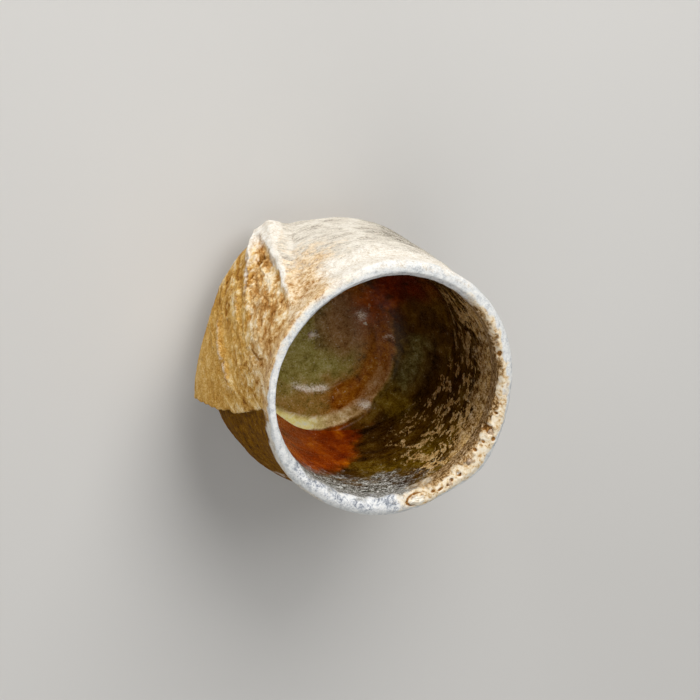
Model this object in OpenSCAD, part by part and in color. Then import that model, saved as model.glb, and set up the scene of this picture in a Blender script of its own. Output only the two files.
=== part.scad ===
// Guinomi: a small hand-formed sake cup of coarse clay with a torn outer slab,
// a white ash crust on the lip and a glassy lining inside.
// The cup stands on its foot, mouth up. Z is the cup's axis, X points to the
// torn edge of the slab, Y to the fuller side of the belly. Millimetres.

/* [Cup] */
// Height from the foot to the top of the lip
cup_h = 56; // [54:0.5:60]
// Outer diameter of the mouth
mouth_d = 60; // [59:0.5:62]
// Thickness of the clay wall below the lip
wall_t = 3; // [2.6:0.1:3.4]
// How far the belly swells on its fuller side
belly = 3.5; // [0:0.1:4]
// How far the cup is out of round
wobble = 0.2; // [0:0.05:0.6]
// How far the hand-formed lip leaves the circle, 1 is as found
uneven = 1; // [0:0.1:1.2]

/* [Base and foot] */
// Outer diameter of the foot ring
foot_d = 40; // [38:0.5:40]
// Width of the foot ring's face
foot_w = 5; // [4.4:0.1:6]
// Height of the foot ring below the cup's base
foot_h = 4; // [3:0.5:5]
// Thickness of the floor slab
floor_t = 7.4; // [6.5:0.1:8]
// Diameter of the floor slab where it drops into the wall
floor_d = 44.8; // [44:0.2:45.6]
// Clearance of a luted joint, filled with slip on the real cup
slip = 0.1; // [0.05:0.05:0.15]

/* [Outer slab] */
// Thickness of the slab over its middle
slab_t = 1.2; // [1:0.1:2]
// Extra height of the welt along the slab's upper edge
welt_h = 2.7; // [1:0.1:3.2]
// How far the torn edge stands away from the wall at the base
flare = 3.1; // [1:0.1:4]
// Height of the thinner fold that branches off the welt at the base
fold_h = 1.4; // [0:0.1:2]
// Roughness of the torn edge, in degrees of arc
tear = 1.1; // [0:0.1:1.6]

/* [Ash and glaze] */
// Thickness of the ash crust on the sides of the lip
crust_t = 0.6; // [0.4:0.05:0.8]
// Thickness of the glass lining
lining_t = 0.5; // [0.3:0.05:0.6]
// Depth of the pooled glass in the middle of the floor
pool_t = 0.9; // [0.6:0.05:1.1]
// Radius of the largest feldspar grain
grain_r = 1.5; // [1.2:0.05:1.6]

/* [Hidden] */
$fn = 128;

mouth_r = mouth_d / 2;          // outside of the crust at the lip
lip_out = mouth_r - crust_t;    // outside of the clay lip under the crust
lip_in = lip_out - wall_t + crust_t; // inside of the clay wall at the lip
lip_z = cup_h - 1.2;            // top of the clay lip
crust_z = cup_h - 4;            // lower edge of the crust outside
crust_in_z = cup_h - 6;         // lower edge of the crust inside, where the lining starts
disc_top = foot_h + floor_t;    // upper side of the floor slab
ledge_z = foot_h + 3.4;         // height of the wall's inner ledge
ledge_r = floor_d / 2 - 2.4;    // radius of the hole below the ledge
base_edge_r = 24.6;             // radius of the wall's underside
side_r = mouth_r + 0.5;         // radius of the plain wall above the base
round_h = 8;                    // height of the rounding between base and side
eps = 0.01;

function clamp01(x) = min(1, max(0, x));
function sstep(a, b, x) = let (t = clamp01((x - a) / (b - a))) t * t * (3 - 2 * t);
function wrap(a) = a - 360 * floor((a + 180) / 360);
function bell(x, w) = exp(-pow(x / w, 2));
function polar(r, a, z) = [r * cos(a), r * sin(a), z];

// ---- clay wall, outside ----
// plain profile: a rounded base edge, then a nearly straight side
function side_profile(z) =
    side_r - (side_r - base_edge_r) * pow(clamp01(1 - (z - foot_h) / round_h), 2.2)
    - 0.5 * sstep(foot_h + 20, crust_z - 2, z);
// the belly swells on one side of the lower half
function belly_at(a, z) = belly * bell(wrap(a - 58), 46)
    * sstep(foot_h, foot_h + 9, z) * (1 - sstep(foot_h + 21, foot_h + 38, z));
// hand-formed unevenness, fading out towards the round lip
function wobble_at(a, z) = wobble * (sin(2 * a + 40) + 0.7 * sin(3 * a - 20 + 2 * z))
    * (1 - sstep(crust_z - 14, crust_z - 3, z));
// the lip has a corner low on one side and is flatter next to the slab
function lip_shift(a) = uneven * (1.55 * bell(wrap(a - 135), 13) + 0.55 * bell(wrap(a - 152), 14)
    + 0.5 * bell(wrap(a - 35), 13) + 0.55 * bell(wrap(a - 92), 26) + 0.2 * bell(wrap(a + 150), 30)
    - 0.3 * sstep(-92, -70, wrap(a)) * (1 - sstep(10, 24, wrap(a))));
function wall_r(a, z) = side_profile(z) + belly_at(a, z) + wobble_at(a, z)
    + lip_shift(a) * sstep(cup_h - 18, cup_h - 3, z);

WALL_N = 96;
WALL_ROWS = 15;
// rows lie closer together on the rounded base edge
function wall_z(i) = let (t = i / (WALL_ROWS - 1))
    foot_h + (lip_z + 0.4 - foot_h) * (0.35 * t + 0.65 * pow(t, 1.9));

module wall_outside() {
    n = WALL_N;
    pts = [for (i = [0 : WALL_ROWS - 1], j = [0 : n - 1])
        polar(wall_r(360 * j / n, wall_z(i)), 360 * j / n, wall_z(i))];
    sides = [for (i = [0 : WALL_ROWS - 2], j = [0 : n - 1]) let (k = (j + 1) % n)
        each [[i * n + j, (i + 1) * n + j, (i + 1) * n + k], [i * n + j, (i + 1) * n + k, i * n + k]]];
    under = [[for (j = [0 : n - 1]) j]];
    top = [[for (j = [n - 1 : -1 : 0]) (WALL_ROWS - 1) * n + j]];
    polyhedron(pts, concat(sides, under, top), convexity = 4);
}

// ---- inside of the clay wall: a thrown bowl with a rounded floor corner ----
CAV_N = 12;
function cav_r(t) = floor_d / 2 + (lip_in - floor_d / 2) * pow(sin(90 * pow(t, 0.72)), 0.9);
function cav_z(t) = disc_top + (crust_in_z - disc_top) * t;
cavity_curve = [for (i = [0 : CAV_N]) [cav_r(i / CAV_N), cav_z(i / CAV_N)]];
lining_curve = [for (i = [0 : CAV_N]) let (t = i / CAV_N) [cav_r(t) - lining_t * (1 - 0.4 * t), cav_z(t)]];

// clay lip, from inside over the top to outside
lip_w = lip_out - lip_in;
lip_curve = [
    [lip_in, lip_z - 1.0], [lip_in + 0.2 * lip_w, lip_z - 0.25], [lip_in + 0.5 * lip_w, lip_z],
    [lip_out - 0.2 * lip_w, lip_z - 0.25], [lip_out, lip_z - 1.0], [lip_out, crust_z]];

// outside of the crust, from its outer lower edge over the lip to its inner lower edge
crust_in = lip_in - crust_t;
crust_w = mouth_r - crust_in;
crust_curve = [
    [mouth_r, crust_z], [mouth_r + 0.1, cup_h - 2.4], [mouth_r - 0.08 * crust_w, cup_h - 1.1],
    [mouth_r - 0.24 * crust_w, cup_h - 0.3], [mouth_r - 0.48 * crust_w, cup_h],
    [mouth_r - 0.72 * crust_w, cup_h - 0.3], [crust_in + 0.08 * crust_w, cup_h - 1.1],
    [crust_in, cup_h - 2.4], [crust_in + 0.1, crust_z], [lip_in - 0.6 * lining_t, crust_in_z]];

// everything the wall leaves open: floor seat, inside, and the seat of the crust
module wall_cutter() {
    rotate_extrude() polygon(concat(
        [[0, foot_h - 1], [ledge_r + slip, foot_h - 1], [ledge_r + slip, ledge_z], [floor_d / 2 + slip, ledge_z], [floor_d / 2 + slip, disc_top]],
        cavity_curve, lip_curve,
        [[mouth_r + 12, crust_z], [mouth_r + 12, cup_h + 4], [0, cup_h + 4]]));
}

// ---- feldspar grains: [angle, radius from the axis, height, size] ----
rim_mid = (lip_in + lip_out) / 2;
rim_grains = [for (g = [[103, -0.4, 1], [121, 0.5, 0.6], [135, -0.5, 0.55], [152, 0.3, 0.8], [60, 0.6, 0.5], [-28, 0, 0.5]])
    [g[0], rim_mid + g[1], cup_h - 0.9 * grain_r * g[2] - 0.1, grain_r * g[2]]];
floor_grains = [for (g = [[-17, 5.5, 0.55], [-160, 9.5, 0.8], [178, 13.5, 0.75], [106, 15, 0.75]])
    [g[0], g[1], disc_top + slip + grain_r * g[2], grain_r * g[2]]];

module grain(g, extra = 0) {
    translate(polar(g[1], g[0], g[2])) sphere(r = g[3] + extra, $fn = 48);
}
module grains(list, extra = 0) { for (g = list) grain(g, extra); }

// ---- sub-parts ----
module cup_wall() {
    color("tan") difference() {
        wall_outside();
        wall_cutter();
        grains(rim_grains, 0.03);
    }
}

// the floor slab is a stepped plug with a groove below for the foot ring
groove_w = foot_w - 2.4;
groove_r = foot_d / 2 - foot_w / 2;
module base_disc() {
    color("rosybrown") rotate_extrude() polygon([
        [0, foot_h], [groove_r - groove_w / 2, foot_h], [groove_r - groove_w / 2, foot_h + 1],
        [groove_r + groove_w / 2, foot_h + 1], [groove_r + groove_w / 2, foot_h], [ledge_r, foot_h],
        [ledge_r, ledge_z], [floor_d / 2, ledge_z], [floor_d / 2, disc_top], [0, disc_top]]);
}

module foot_ring() {
    t = groove_w / 2 - slip;
    color("saddlebrown") rotate_extrude() polygon([
        [foot_d / 2 - foot_w + 0.7, 0], [foot_d / 2 - 0.8, 0], [foot_d / 2, 0.9], [foot_d / 2 - 0.2, foot_h],
        [groove_r + t, foot_h], [groove_r + t, foot_h + 1 - slip], [groove_r - t, foot_h + 1 - slip], [groove_r - t, foot_h],
        [foot_d / 2 - foot_w, foot_h], [foot_d / 2 - foot_w, 0.8]]);
}

// slab coordinates: u runs from the welted edge (0) to the torn edge (1), t from base to lip
slab_z0 = foot_h + 5.2;
slab_z1 = crust_z - 0.8;
function slab_z(u, t) = let (z0 = slab_z0 + 0.5 * sin(540 * u + 30) + 0.35 * sin(1240 * u))
    z0 + (slab_z1 - z0) * t;
function torn(t) = tear * (sin(1180 * t) + 0.6 * sin(2550 * t + 40));
// the crest of the welt leans over on its way up, and the torn edge runs in towards the lip
function crest_a(t) = -62 + 20 * pow(t, 1.25);
function slab_a(u, t) = let (a0 = crest_a(t) - 10.5 * (1 - 0.4 * t), a1 = 19.5 - 8 * t - 7 * pow(t, 7) + torn(t))
    a0 + (a1 - a0) * u;
function fade(t) = 1 - sstep(0.1, 1, t);
function lift_at(u, t) = flare * fade(t) * pow(clamp01((u - 0.58) / 0.42), 2);
function fold_at(u, t) = fold_h * (1 - sstep(0.1, 0.66, t)) * bell(slab_a(u, t) + 66.7 - 1.15 * slab_z(u, t), 3.2);
function slab_in(u, t) = wall_r(slab_a(u, t), slab_z(u, t)) + slip + 0.85 * lift_at(u, t);
function slab_out(u, t) = wall_r(slab_a(u, t), slab_z(u, t)) + slip + 0.5
    + (slab_t - 0.5) * sstep(0, 0.05, u) * (0.3 + 0.7 * fade(t))
    + max(welt_h * (0.12 + 0.88 * fade(t)) * bell(u - 0.115, 0.055), fold_at(u, t))
    + lift_at(u, t) + 0.5 * fade(t) * sstep(0.75, 1, u)
    + 0.25 * fade(t) * sin(2100 * u + 300 * t);

SLAB_U = 46;
SLAB_T = 21;
module outer_slab() {
    nu = SLAB_U + 1;
    nt = SLAB_T + 1;
    n = nu * nt;
    function at(i, j) = i * nu + j;
    outer = [for (i = [0 : SLAB_T], j = [0 : SLAB_U]) let (u = j / SLAB_U, t = i / SLAB_T)
        polar(slab_out(u, t), slab_a(u, t), slab_z(u, t))];
    inner = [for (i = [0 : SLAB_T], j = [0 : SLAB_U]) let (u = j / SLAB_U, t = i / SLAB_T)
        polar(slab_in(u, t), slab_a(u, t), slab_z(u, t))];
    front = [for (i = [0 : SLAB_T - 1], j = [0 : SLAB_U - 1])
        each [[at(i, j), at(i + 1, j), at(i + 1, j + 1)], [at(i, j), at(i + 1, j + 1), at(i, j + 1)]]];
    back = [for (f = front) [n + f[2], n + f[1], n + f[0]]];
    bottom = [for (j = [0 : SLAB_U - 1])
        each [[at(0, j), at(0, j + 1), n + at(0, j + 1)], [at(0, j), n + at(0, j + 1), n + at(0, j)]]];
    top = [for (j = [0 : SLAB_U - 1])
        each [[at(SLAB_T, j + 1), at(SLAB_T, j), n + at(SLAB_T, j)], [at(SLAB_T, j + 1), n + at(SLAB_T, j), n + at(SLAB_T, j + 1)]]];
    start = [for (i = [0 : SLAB_T - 1])
        each [[at(i + 1, 0), at(i, 0), n + at(i, 0)], [at(i + 1, 0), n + at(i, 0), n + at(i + 1, 0)]]];
    end = [for (i = [0 : SLAB_T - 1])
        each [[at(i, SLAB_U), at(i + 1, SLAB_U), n + at(i + 1, SLAB_U)], [at(i, SLAB_U), n + at(i + 1, SLAB_U), n + at(i, SLAB_U)]]];
    color("goldenrod") polyhedron(concat(outer, inner), concat(front, back, bottom, top, start, end), convexity = 6);
}

// the crust follows the uneven lip outside and the round wall inside
crust_ring = concat(crust_curve, [[lip_in + 0.25, crust_in_z], [lip_out - 0.25, crust_z]]);
function follows(i) = i < 3 ? 1 : i == 3 ? 0.85 : i == 4 ? 0.5 : i == 5 ? 0.2 : 0;
CRUST_N = 120;
module crust_body() {
    n = CRUST_N;
    m = len(crust_ring);
    pts = [for (i = [0 : m - 1], j = [0 : n - 1])
        polar(crust_ring[i][0] + follows(i) * lip_shift(360 * j / n), 360 * j / n, crust_ring[i][1])];
    sides = [for (i = [0 : m - 1], j = [0 : n - 1]) let (k = (j + 1) % n, h = (i + 1) % m)
        each [[i * n + j, h * n + j, h * n + k], [i * n + j, h * n + k, i * n + k]]];
    polyhedron(pts, sides, convexity = 6);
}
module rim_ash_crust() {
    color("ivory") difference() {
        crust_body();
        rotate_extrude() polygon(concat([[lip_in, crust_in_z - 1]], lip_curve, [[lip_out, crust_in_z - 1]]));
        grains(rim_grains, 0.03);
    }
}

module glaze_lining() {
    color("darkolivegreen") rotate_extrude() polygon(concat(
        lining_curve, [for (i = [CAV_N : -1 : 0]) cavity_curve[i]]));
}

// the pool has set in steps round a point beside the axis, and climbs the wall on the far side
function pool_r(t) = cav_r(t) - lining_t * (1 - 0.4 * t) - 0.02;
pool_rows = 4;
pool_at = [4.2, 2.4, disc_top + pool_t];
pool_steps = [[0, 0], [12.2, 0], [13.4, 0.8], [17.8, 0.8], [19.8, 2.7], [21.3, 2.5],
    [23, 3.7], [25, 5.9], [27, 8.2], [29, 10.2], [31, 11.2], [40, 11.8]];
module glaze_pool() {
    color("olive") difference() {
        rotate_extrude() polygon(concat([[0, disc_top]],
            [for (i = [0 : pool_rows]) [pool_r(i / CAV_N), cav_z(i / CAV_N)]],
            [[0, cav_z(pool_rows / CAV_N)]]));
        translate(pool_at) rotate_extrude() polygon(concat(pool_steps, [[40, cup_h], [0, cup_h]]));
        grains(floor_grains, 0.03);
    }
}

module feldspar_grains() {
    color("white") { grains(rim_grains); grains(floor_grains); }
}

cup_wall();
base_disc();
foot_ring();
outer_slab();
rim_ash_crust();
glaze_lining();
glaze_pool();
feldspar_grains();
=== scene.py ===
import math
import numpy as np
import bpy
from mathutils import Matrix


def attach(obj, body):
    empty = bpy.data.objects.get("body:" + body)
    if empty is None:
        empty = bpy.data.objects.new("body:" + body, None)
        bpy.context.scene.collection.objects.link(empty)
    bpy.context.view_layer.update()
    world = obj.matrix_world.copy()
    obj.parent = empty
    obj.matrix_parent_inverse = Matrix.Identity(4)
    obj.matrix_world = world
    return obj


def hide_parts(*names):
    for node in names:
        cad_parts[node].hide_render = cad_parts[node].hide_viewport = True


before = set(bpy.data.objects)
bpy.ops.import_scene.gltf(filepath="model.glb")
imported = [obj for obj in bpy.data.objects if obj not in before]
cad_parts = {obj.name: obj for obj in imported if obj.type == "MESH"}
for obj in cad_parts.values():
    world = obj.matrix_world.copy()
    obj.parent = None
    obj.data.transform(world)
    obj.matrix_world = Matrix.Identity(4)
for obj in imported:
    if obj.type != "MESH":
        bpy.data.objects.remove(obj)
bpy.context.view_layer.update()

# All shapes below are worked out in millimetres and degrees, in the frame of the cup:
# Z is the cup's axis, A the angle round it from +X towards +Y.
MM = 0.001

# ------------------------------------------------------------------ noise

_rng = np.random.RandomState(20)
_P = _rng.permutation(512)
_G = _rng.normal(size=(512, 3))
_G /= np.linalg.norm(_G, axis=1)[:, None]
_J = _rng.rand(512, 3)


def _h(i, j, k):
    return _P[(_P[(_P[i & 511] + j) & 511] + k) & 511]


def perlin(x, y, z):
    x, y, z = np.broadcast_arrays(np.asarray(x, float), np.asarray(y, float), np.asarray(z, float))
    xi, yi, zi = np.floor(x), np.floor(y), np.floor(z)
    fx, fy, fz = x - xi, y - yi, z - zi
    xi, yi, zi = xi.astype(np.int64), yi.astype(np.int64), zi.astype(np.int64)
    u, v, w = (f * f * f * (f * (f * 6 - 15) + 10) for f in (fx, fy, fz))

    def g(a, b, c):
        d = _G[_h(xi + a, yi + b, zi + c)]
        return d[..., 0] * (fx - a) + d[..., 1] * (fy - b) + d[..., 2] * (fz - c)

    x00 = g(0, 0, 0) * (1 - u) + g(1, 0, 0) * u
    x10 = g(0, 1, 0) * (1 - u) + g(1, 1, 0) * u
    x01 = g(0, 0, 1) * (1 - u) + g(1, 0, 1) * u
    x11 = g(0, 1, 1) * (1 - u) + g(1, 1, 1) * u
    return 1.5 * ((x00 * (1 - v) + x10 * v) * (1 - w) + (x01 * (1 - v) + x11 * v) * w)


def fbm(x, y, z, octaves=4, gain=0.5):
    s, a, t = 0.0, 1.0, 0.0
    for k in range(octaves):
        f = 2.0 ** k
        s = s + a * perlin(x * f + 17.3 * k, y * f - 9.1 * k, z * f + 5.7 * k)
        t += a
        a *= gain
    return s / t


def ridged(x, y, z, octaves=3, gain=0.5):
    s, a, t = 0.0, 1.0, 0.0
    for k in range(octaves):
        f = 2.0 ** k
        s = s + a * (1 - np.abs(perlin(x * f + 3.1 * k, y * f + 7.7 * k, z * f - 4.4 * k)) * 2)
        t += a
        a *= gain
    return s / t


def worley(x, y, z):
    """Distances to the nearest and second nearest scattered point, and a number for the nearest."""
    x, y, z = np.broadcast_arrays(np.asarray(x, float), np.asarray(y, float), np.asarray(z, float))
    xi, yi, zi = (np.floor(v).astype(np.int64) for v in (x, y, z))
    f1 = np.full(x.shape, 9.0)
    f2 = np.full(x.shape, 9.0)
    cid = np.zeros(x.shape)
    for a in (-1, 0, 1):
        for b in (-1, 0, 1):
            for c in (-1, 0, 1):
                h = _h(xi + a, yi + b, zi + c)
                j = _J[h]
                d = np.sqrt((xi + a + j[..., 0] - x) ** 2 + (yi + b + j[..., 1] - y) ** 2 + (zi + c + j[..., 2] - z) ** 2)
                near = d < f1
                f2 = np.where(near, f1, np.minimum(f2, d))
                cid = np.where(near, h / 512.0, cid)
                f1 = np.where(near, d, f1)
    return f1, f2, cid


def sst(a, b, x):
    t = np.clip((np.asarray(x, float) - a) / (b - a), 0, 1)
    return t * t * (3 - 2 * t)


def bell(x, w):
    return np.exp(-((x / w) ** 2))


def wrap(a):
    return (np.asarray(a, float) + 180) % 360 - 180


def window(x, a, b, c, d):
    """0 below a, 1 from b to c, 0 above d."""
    return sst(a, b, x) * (1 - sst(c, d, x))


def polar(r, a, z):
    r, a, z = np.broadcast_arrays(r, a, z)
    t = np.radians(a)
    return np.stack([r * np.cos(t), r * np.sin(t), z], axis=-1)


# ------------------------------------------------------------------ sizes of the cup

CUP_H, FOOT_H, CRUST_Z, CRUST_IN_Z = 56.0, 4.0, 52.0, 50.0
DISC_TOP, LEDGE_Z, LEDGE_R, FLOOR_R = 11.4, 7.4, 20.0, 22.4
LIP_IN, LIP_OUT, LIP_Z = 27.0, 29.4, 54.8
SIDE_R, BASE_R, ROUND_H = 30.5, 24.6, 8.0
SLIP = 0.1


# ------------------------------------------------------------------ the outside

def rim_shift(A):
    """How the hand-formed lip leaves the circle: a corner low on one side, flatter by the slab."""
    A = wrap(A)
    return (1.55 * bell(A - 135, 13) + 0.55 * bell(A - 152, 14) + 0.5 * bell(A - 35, 13) + 0.55 * bell(A - 92, 26)
            - 0.6 * window(A, -92, -70, 10, 24) + 0.2 * bell(A + 150, 30))


def side_profile(z):
    return (SIDE_R - (SIDE_R - BASE_R) * np.clip(1 - (z - FOOT_H) / ROUND_H, 0, 1) ** 2.2
            - 0.5 * sst(FOOT_H + 20, CRUST_Z - 2, z))


def wall_r(A, z):
    A, z = np.broadcast_arrays(np.asarray(A, float), np.asarray(z, float))
    r = side_profile(z)
    r = r + 3.5 * bell(wrap(A - 58), 46) * sst(FOOT_H, FOOT_H + 9, z) * (1 - sst(FOOT_H + 21, FOOT_H + 38, z))
    r = r + 0.22 * (np.sin(np.radians(2 * A + 40)) + 0.7 * np.sin(np.radians(3 * A - 20 + 2 * z))) * (1 - sst(CRUST_Z - 14, CRUST_Z - 3, z))
    r = r + rim_shift(A) * sst(38, 53, z)
    # fuller past the welt at the base, and a shallow neck under the lip on the side away from the slab
    r = r + 1.05 * bell(wrap(A + 71), 8.5) * window(z, 4, 8, 12, 22)
    r = r - 0.55 * bell(z - 47.5, 3.2) * window(wrap(A + 110), -62, -40, 45, 75)
    return r


def creases(A, z):
    """Wrinkles between small leathery patches, drawn out along the drag of the slab; 1 in a wrinkle."""
    arc = np.radians(wrap(A)) * 31.0
    j1 = fbm(arc * 0.22, z * 0.22, 1.0, 3, 0.6)
    j2 = fbm(arc * 0.22, z * 0.22, 21.0, 3, 0.6)
    w = arc - 0.62 * z
    f1, f2, cid = worley(w * 0.40 + 1.5 * j1, z * 0.24 + 1.3 * j2, 0.5)
    g1, g2, gid = worley(arc * 0.75 + 1.4 * j2, z * 0.60 + 1.4 * j1, 3.5)
    c = np.maximum(1 - sst(0.0, 0.26, f2 - f1), 0.65 * (1 - sst(0.0, 0.22, g2 - g1)))
    return c * sst(-0.35, 0.25, fbm(arc * 0.11, z * 0.11, 8.0, 2) + 0.12), cid


def wall_relief(A, z):
    """Finer unevenness of the clay wall."""
    P = polar(wall_r(A, z), A, z)
    x, y, zz = P[..., 0], P[..., 1], P[..., 2]
    lines = fbm(x * 0.05, y * 0.05, zz * 0.75, 4, 0.6)
    lumps = fbm(x * 0.16, y * 0.16, zz * 0.16 + 31, 3)
    grit = fbm(x * 1.1, y * 1.1, zz * 1.1 + 11, 3, 0.65)
    fade = 1 - sst(47.5, 51.8, z)
    top = window(wrap(A + 100), -45, -30, 40, 70)
    d = 0.22 * lumps + (0.16 + 0.10 * top) * lines * sst(51, 44, z) + 0.10 * grit
    mottled = window(wrap(A + 72), -32, -12, 20, 40) * sst(16, 30, z)
    d = d - 0.22 * mottled * creases(A, z)[0]
    # small torn holes of the coarse clay on the warm side
    f1, f2, cid = worley(x * 0.42, y * 0.42, zz * 0.6)
    warm = window(wrap(A - 135), -60, -35, 40, 62)
    d = d - 0.5 * warm * sst(0.30, 0.10, f1) * (cid > 0.45)
    return d * fade


# ---- the torn slab: u runs from its welted edge to its torn edge, t from base to lip

SLAB_Z0, SLAB_Z1 = 9.2, 51.2
CREST = np.array([(9, -62.0), (13, -61.3), (16.6, -59.8), (23, -56.6), (29, -54.2), (36, -51.0), (46, -45.0), (52, -42.0)])
TORN = np.array([(9, 19.5), (16, 17.6), (22, 16.3), (30, 15.2), (36, 14.2), (42, 11.8), (47, 8.2), (52, 4.0)])


def crest_a(z):
    return np.interp(z, CREST[:, 0], CREST[:, 1])


def torn_a(z):
    jag = 1.5 * perlin(z * 0.22, 1.3, 0.4) + 1.1 * perlin(z * 0.62, 4.3, 0.9) + 0.8 * perlin(z * 1.3, 9.3, 0.2) * sst(-0.25, 0.45, perlin(z * 0.31, 7.7, 3.1))
    return np.interp(z, TORN[:, 0], TORN[:, 1]) + jag * (1 - 0.4 * sst(SLAB_Z0, SLAB_Z1, z))


def slab_z(u, t):
    z0 = SLAB_Z0 + 0.5 * np.sin(np.radians(540 * u + 30)) + 0.35 * np.sin(np.radians(1240 * u)) + 0.35 * perlin(u * 26.0, 3.3, 1.7)
    return z0 + (SLAB_Z1 - z0) * t


def slab_a(u, t):
    z = SLAB_Z0 + (SLAB_Z1 - SLAB_Z0) * t
    a0 = crest_a(z) - 10.5 * (1 - 0.4 * t) + 0.7 * perlin(z * 0.25, 8.1, 2.2)
    return a0 + (torn_a(z) - a0) * u


def slab_fade(t):
    return 1 - sst(0.1, 1, t)


def slab_lift(u, t):
    return 3.1 * slab_fade(t) * np.clip((u - 0.58) / 0.42, 0, 1) ** 2.0


def slab_fields(u, t):
    """Inner and outer radius of the slab, and masks for its finish."""
    A, z = slab_a(u, t), slab_z(u, t)
    fade, lift = slab_fade(t), slab_lift(u, t)
    base = wall_r(A, z) + wall_relief(A, z) * sst(FOOT_H, FOOT_H + 1.5, z)
    soft = sst(0.0, 0.11, u) * (1 - sst(0.86, 1.0, t))          # 0 where the slab is smeared onto the wall
    inner = base + 0.02 - 0.10 * (1 - soft) + 0.86 * lift
    arc = np.radians(A) * 31.0
    w = np.radians(A - 1.15 * z) * 31.0                          # constant along the drag lines of the slab
    wj = w + 0.8 * fbm(arc * 0.12, z * 0.12, 5.0, 2)
    drag = ridged(wj * 0.26, z * 0.03, 2.0, 3, 0.55)
    lumps = fbm(arc * 0.22, z * 0.22, 4.0, 4, 0.55)
    crags = fbm(arc * 0.7, z * 0.6, 14.0, 3, 0.6)
    grit = fbm(arc * 1.8, z * 1.8, 9.0, 3, 0.65)
    out = base - 0.05 * (1 - soft) + 0.95 * soft * (0.4 + 0.6 * fade) + lift + 0.5 * fade * sst(0.75, 1, u)
    out = out + 0.7 * fade * window(u, 0.12, 0.22, 0.42, 0.62)
    # relief: coarse torn clay near the welt and the lip, calmer towards the torn corner
    calm = sst(0.55, 0.85, u) * fade
    relief = 0.24 * (drag - 0.45) * (1 - 0.8 * calm) + (0.50 - 0.30 * calm) * lumps + (0.17 - 0.12 * calm) * crags + (0.10 - 0.04 * calm) * grit + 0.45 * calm * fbm(arc * 0.09, z * 0.07, 24.0, 2)
    # the welt: flat-topped at the base, narrowing to a ridge that dies out below the lip
    dc = np.radians(A - crest_a(z)) * 31.5 + 0.5 * perlin(z * 0.2, 0.3, 5.5) + 0.25 * perlin(z * 0.7, 0.9, 3.5)
    hc = np.interp(z, [9, 15, 22, 29, 36, 44, 51], [3.0, 2.8, 2.2, 1.55, 1.0, 0.5, 0.1])
    pl = np.interp(z, [9, 13, 17, 20, 24, 30, 46], [2.4, 2.3, 1.7, 1.0, 0.65, 0.45, 0.3])
    fl = np.interp(z, [9, 16, 24, 40], [6.4, 5.2, 4.4, 4.0])
    welt = sst(-fl, -0.1, dc) * (1 - sst(pl, pl + 1.5, dc))
    line = np.where(dc < 0, bell(dc, np.interp(z, [9, 16, 24, 40], [3.0, 1.7, 1.1, 0.9])), bell(dc, np.interp(z, [9, 16, 24, 40], [2.6, 1.4, 0.9, 0.8])))
    out = out + soft ** 0.3 * (hc * welt + 0.30 * line * sst(50, 40, z) * sst(9, 16, z))
    # a thinner fold that leaves it at the base and runs off along the drag lines
    db = np.radians(A - (-66.7 + 1.15 * z)) * 31.0 + 0.5 * perlin(z * 0.3, 2.2, 8.8)
    hb = np.interp(z, [9, 13, 20, 28, 37], [1.7, 1.6, 1.05, 0.55, 0.0])
    branch = bell(db, 1.5)
    out = out + hb * branch * (1 - welt)
    # further drag lines, each a faint raised streak; the first is a third fold with a shallow hollow beside it, whose
    # darker colour is painted shade
    streak = np.zeros_like(z)
    for w0, z0, z1, h, tone in ((-38.0, 18, 38, 0.95, 0.46), (-58.0, 20, 33, 0.42, 0.34), (-29.0, 12, 26, 0.16, 0.20)):
        ds = np.radians(A - 1.15 * z - w0) * 31.0 + 1.3 * perlin(z * 0.13, w0, 2.0) + 0.6 * perlin(z * 0.45, w0, 7.0)
        k = bell(ds, 0.9 + 0.5 * h) * window(z, z0 - 3, z0 + 3, z1 - 5, z1 + 3) * (0.68 + 0.32 * sst(-0.18, 0.22, crags))
        # the streak tone goes into the white mask: a pale line along each crest, partly a painted highlight
        streak = np.maximum(streak, tone * k)
        out = out + h * k
        if h > 0.9:
            hollow = bell(ds - 2.6, 1.3) * window(z, 21, 26, 33, 39)
    out = out - 0.40 * hollow
    # above the base the gap between the folds is filled; higher up the clay is torn into a small ragged hollow
    between = sst(0.3, 1.4, dc) * sst(0.0, 1.2, -db)
    across = np.clip(dc / np.maximum(dc - db, 0.4), 0, 1)
    out = out + between * (1 - welt) * (hc * (1 - across) + hb * across) * np.interp(z, [9, 15, 18, 22, 26, 34], [0.97, 0.96, 0.90, 0.62, 0.36, 0.05])
    ragged = fbm(arc * 0.6, z * 0.6, 3.7, 3, 0.6)
    cav = sst(1.15, 0.55, np.hypot((dc - 4.3) / 1.5, (z - 22.6) / 1.7) + 0.8 * ragged)
    out = out - 0.85 * cav + 0.6 * bell(A + 47, 7) * sst(22, 10, z) * soft
    scar = sst(-0.5, 1.0, dc) * sst(-1.0, 1.0, -db) * window(z + 4 * ragged, 18, 22, 30, 39)
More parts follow.
